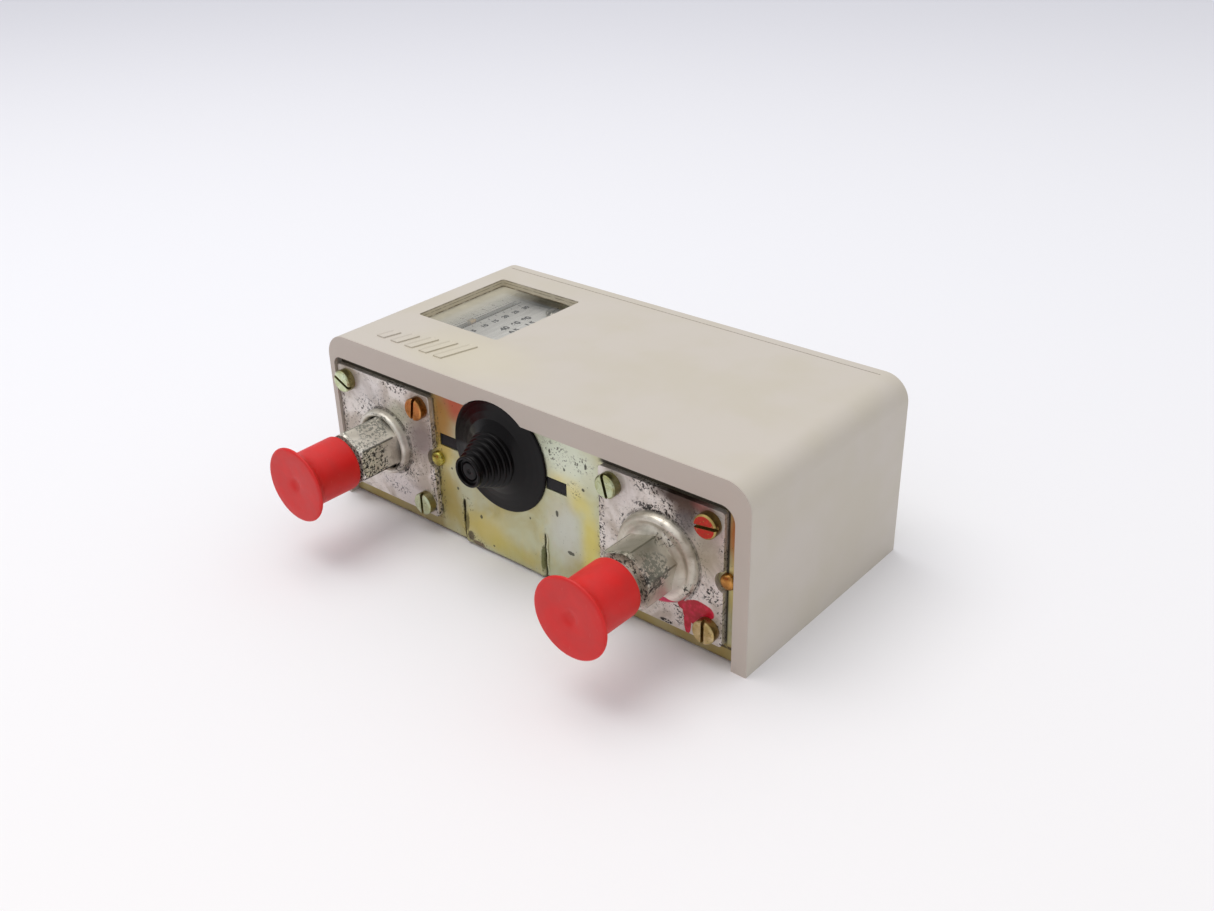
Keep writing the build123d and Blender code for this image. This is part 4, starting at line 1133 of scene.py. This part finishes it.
def make_scale_print():
    """Two ink bars as painted shade for the slit's dark edges, tick columns and numbers each side of the
    slit, and two larger rows of numbers.
    """
    slit = SLIT_X
    low, high = -3.0 * MM, 20.0 * MM
    bm = bmesh.new()
    # Painted shade: the slit is drawn as two ink bars standing for its dark edges.
    for edge in (-0.85, 0.8):
        add_bar(bm, slit + edge * MM, (low + high) / 2 + 1 * MM, 0.28 * MM, high - low + 2 * MM)
    marks = 25
    for index in range(marks):
        y = low + (high - low) * index / (marks - 1)
        long = 0.9 if index % 4 == 0 else 0.5
        add_bar(bm, slit - (1.7 + long / 2) * MM, y, long * MM, 0.22 * MM)
        if index % 3 == 0:
            add_bar(bm, slit + (1.7 + long / 2) * MM, y, long * MM, 0.22 * MM)
    for number in range(7):
        y = low + (high - low) * number / 6
        add_text(bm, str(number), 1.4 * MM, slit - 3.7 * MM, y)
        add_text(bm, str(number * 5), 2.0 * MM, slit + 4.4 * MM, y)
    add_text(bm, "0.5  1.0", 1.4 * MM, slit - 5.5 * MM, 11.5 * MM)
    add_text(bm, "40  60  80", 2.6 * MM, slit + 9.7 * MM, 10.6 * MM)
    add_text(bm, "0.5    1.5", 2.5 * MM, slit + 12.9 * MM, 9.8 * MM)
    return piece("scale_print", bm, "scale_ink", "scale_metal", "case")


# ---- inside pieces

def make_spindle(side, axis):
    """A threaded setting spindle with its collar and slotted head."""
    name = side + "_spindle"
    low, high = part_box(name)
    end, slot_foot, slot_half = 25.0 * MM, high.y - 2.2 * MM, 0.6 * MM
    bm = bmesh.new()
    thread(bm, axis, 3.0 * MM, 0.5 * MM, SPINDLE_PITCH, low.y, end, 48)
    collar = past(end, [(0, 0), (3, 0), (3, 0.4), (5, 0.4), (5, 2.15), (3, 2.15), (3, 4.9), (4, 4.9)])
    collar += [(4 * MM, slot_foot), (0, slot_foot)]
    lathe(bm, rounded(collar, 0.2 * MM, 2), axis, 64)
    for sign in (-1, 1):
        half_head(bm, axis, 4 * MM, sign, slot_half, slot_foot, high.y)
    return piece(name + "_rod", bm, "arm_steel", "arm_steel", name, name)


def half_head(bm, axis, radius, sign, gap, low, high):
    """Half of a slotted head: the part of a disc beyond the slot on one side."""
    limit, steps = math.asin(gap / radius), 24
    rings = []
    for y, shrink in ((low, 1.0), (high - 0.3 * MM, 1.0), (high, 0.93)):
        ring = []
        for step in range(steps + 1):
            angle = limit + (math.pi - 2 * limit) * step / steps
            x, z = radius * math.sin(angle) * shrink, radius * math.cos(angle) * shrink
            ring.append(bm.verts.new((axis.x + sign * max(x, gap), y, axis.z + z)))
        rings.append(ring)
    skin(bm, rings)


def make_coil(name, node, path, wire, sides):
    bm = bmesh.new()
    tube(bm, path, wire, sides)
    return piece(name, bm, "spring_steel", "spring_steel", None, node, angle=60)


def make_springs():
    """Main springs that reach from just clear of the arms that swing towards them to their nuts, and button
    springs.
    """
    main_wire, return_wire = 0.85 * MM, 0.32 * MM
    for side, axis in SIDES:
        arm, nut = -15.5 * MM + ARM_SWING_ROOM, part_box(side + "_setting_nut")[0].y
        path = coil_path(axis, arm, nut, 6.1 * MM, main_wire, 6)
        spring = make_coil(side + "_spring_coil", side + "_main_spring", path, main_wire, 14)
        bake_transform(spring)
        button = middle(side + "_reset_button")
        push, rest = -26.05 * MM, -1.0 * MM
        path = coil_path(button, push, rest, 2.25 * MM, return_wire, 12)
        coil = make_coil(side + "_return_coil", side + "_reset_spring", path, return_wire, 10)
        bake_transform(coil)


def make_bellows():
    """Corrugated cups with four folds."""
    for side, axis in SIDES:
        low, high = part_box(side + "_bellows")
        base, lid = low.y + 1.35 * MM, high.y - 0.6 * MM
        outer, crest, valley, pin = 11.5 * MM, 10.9 * MM, 9.0 * MM, 7.4 * MM
        folds = 4
        outline = [(pin, low.y), (outer, low.y), (outer, base)]
        pitch = (lid - base) / folds
        for index in range(folds):
            for radius, share in ((valley, 0.12), (crest, 0.5), (valley, 0.88)):
                outline.append((radius, base + pitch * (index + share)))
        outline += [(valley, high.y), (0, high.y), (0, lid), (pin, lid)]
        bm = lathe(bmesh.new(), rounded(outline, 0.5 * MM, 4), axis, 72)
        name = side + "_bellows_cup"
        cup = piece(name, bm, "bellows_bronze", "bellows_bronze", None, side + "_bellows", angle=60)
        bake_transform(cup)


# ---- stage

def make_stage():
    """A white floor whose colour darkens softly and turns bluish into the distance, as painted shade for the
    light's falloff.
    """
    floor_half = 4.0
    bm = bmesh.new()
    bmesh.ops.create_grid(bm, x_segments=8, y_segments=8, size=floor_half)
    mesh = bpy.data.meshes.new("floor")
    bm.to_mesh(mesh)
    bm.free()
    floor = bpy.data.objects.new("floor", mesh)
    scene.collection.objects.link(floor)
    m = Finish("floor_white", srgb(241, 240, 243), 0.7)
    # Painted shade: the floor's colour darkens and cools with distance, standing in for the falloff of the
    # light.
    away = m.less(m.axis("y"), m.mul(m.axis("x"), 0.8))
    near = m.tones(m.noise(400, 2, 0.5), (243, 241, 242), (245, 242, 242))
    halfway = m.mix(m.span(away, -0.35, 0.25), near, srgb(238, 238, 243))
    m.put("Base Color", m.mix(m.span(away, 0.1, 1.1), halfway, srgb(221, 221, 229)))
    mesh.materials.append(m.mat)


def add_area(name, place, target, size, power, color):
    light = bpy.data.lights.new(name, "AREA")
    light.shape = "DISK"
    light.size = size
    light.energy = power
    light.color = color
    holder = bpy.data.objects.new(name, light)
    holder.location = place
    holder.rotation_euler = (Vector(target) - Vector(place)).to_track_quat("-Z", "Y").to_euler()
    scene.collection.objects.link(holder)


def light_scene():
    """A soft sky that is brighter overhead than at the horizon, and a large soft lamp above."""
    world = bpy.data.worlds.new("studio")
    world.use_nodes = True
    tree = world.node_tree
    back = tree.nodes["Background"]
    place = tree.nodes.new("ShaderNodeTexCoord")
    split = tree.nodes.new("ShaderNodeSeparateXYZ")
    ramp = tree.nodes.new("ShaderNodeValToRGB")
    tree.links.new(place.outputs["Generated"], split.inputs[0])
    tree.links.new(split.outputs["Z"], ramp.inputs[0])
    tree.links.new(ramp.outputs[0], back.inputs["Color"])
    low, high = ramp.color_ramp.elements
    low.position, low.color = 0.0, (0.40, 0.41, 0.43, 1)
    high.position, high.color = 1.0, (1.0, 1.0, 1.0, 1)
    back.inputs["Strength"].default_value = 0.98
    scene.world = world
    add_area("top_light", (-0.35, -0.10, 1.05), (0, 0, 0), 0.9, 4.6, (1.0, 0.98, 0.96))


def add_camera():
    """The view from above the high-pressure connector's corner."""
    camera = bpy.data.cameras.new("camera")
    camera.sensor_width = 36.0
    camera.lens = 37.94
    camera.clip_start = 0.01
    holder = bpy.data.objects.new("camera", camera)
    holder.location = (0.17682, -0.20612, 0.16647)
    holder.rotation_euler = [math.radians(angle) for angle in (61.304, 1.239, 39.896)]
    scene.collection.objects.link(holder)
    scene.camera = holder


# ---- assembly

add_camera()
light_scene()
make_stage()
scene.view_settings.view_transform = "Standard"
finishes = make_finishes()

for node, obj in nodes.items():
    slot = next(part["material_slot"] for part in frame["record"]["subparts"] if part["node"] == node)
    obj.data.materials.clear()
    obj.data.materials.append(finishes.get(slot) or finishes["arm_steel"])
    smooth(obj.data)

make_cover()
for node, width, *looks in (
    ("frame", 0.2, "chromated_steel"),
    ("low_bellows_plate", 0.16, "low_plate", "zinc_steel"),
    ("high_bellows_plate", 0.16, "high_plate", "zinc_steel"),
    ("contact_base", 0.3, "base_plastic"),
    ("low_main_arm", 0.2, "arm_steel"),
    ("high_main_arm", 0.2, "arm_steel"),
    ("low_setting_nut", 0.25, "brass"),
    ("high_setting_nut", 0.25, "brass"),
    ("low_reset_button", 0.15, "black_plastic"),
    ("high_reset_button", 0.15, "black_plastic"),
    ("cover_screw", 0.15, "plated_brass"),
    ("earth_screw", 0.15, "plated_brass"),
    ("terminal_screws", 0.15, "tinned_brass"),
    ("terminal_clamps", 0.12, "tinned_brass"),
    ("scale_screws", 0.1, "tinned_brass"),
    ("scale_bracket", 0.12, "chromated_steel"),
    ("high_nut_guide", 0.12, "chromated_steel"),
):
    refined(node, width * MM, *looks)
for side, axis in SIDES:
    make_cap(side, axis)
make_grommet()
make_tongue()
make_ports()
make_screws("low", LOW_AXIS, (
    ("upper_left", -1, 1, "green_screw", -25),
    ("upper_right", 1, 1, "gold_screw", 80),
    ("lower_left", -1, -1, "straw_screw", 40),
    ("lower_right", 1, -1, "green_screw", 90),
))
make_screws("high", HIGH_AXIS, (
    ("upper_left", -1, 1, "olive_screw", -75),
    ("upper_right", 1, 1, "painted_screw", 8),
    ("lower_left", -1, -1, "straw_screw", -30),
    ("lower_right", 1, -1, "straw_screw", 90),
))
make_rivets()
make_scale_print()
for side, axis in SIDES:
    make_spindle(side, axis)
make_springs()
make_bellows()
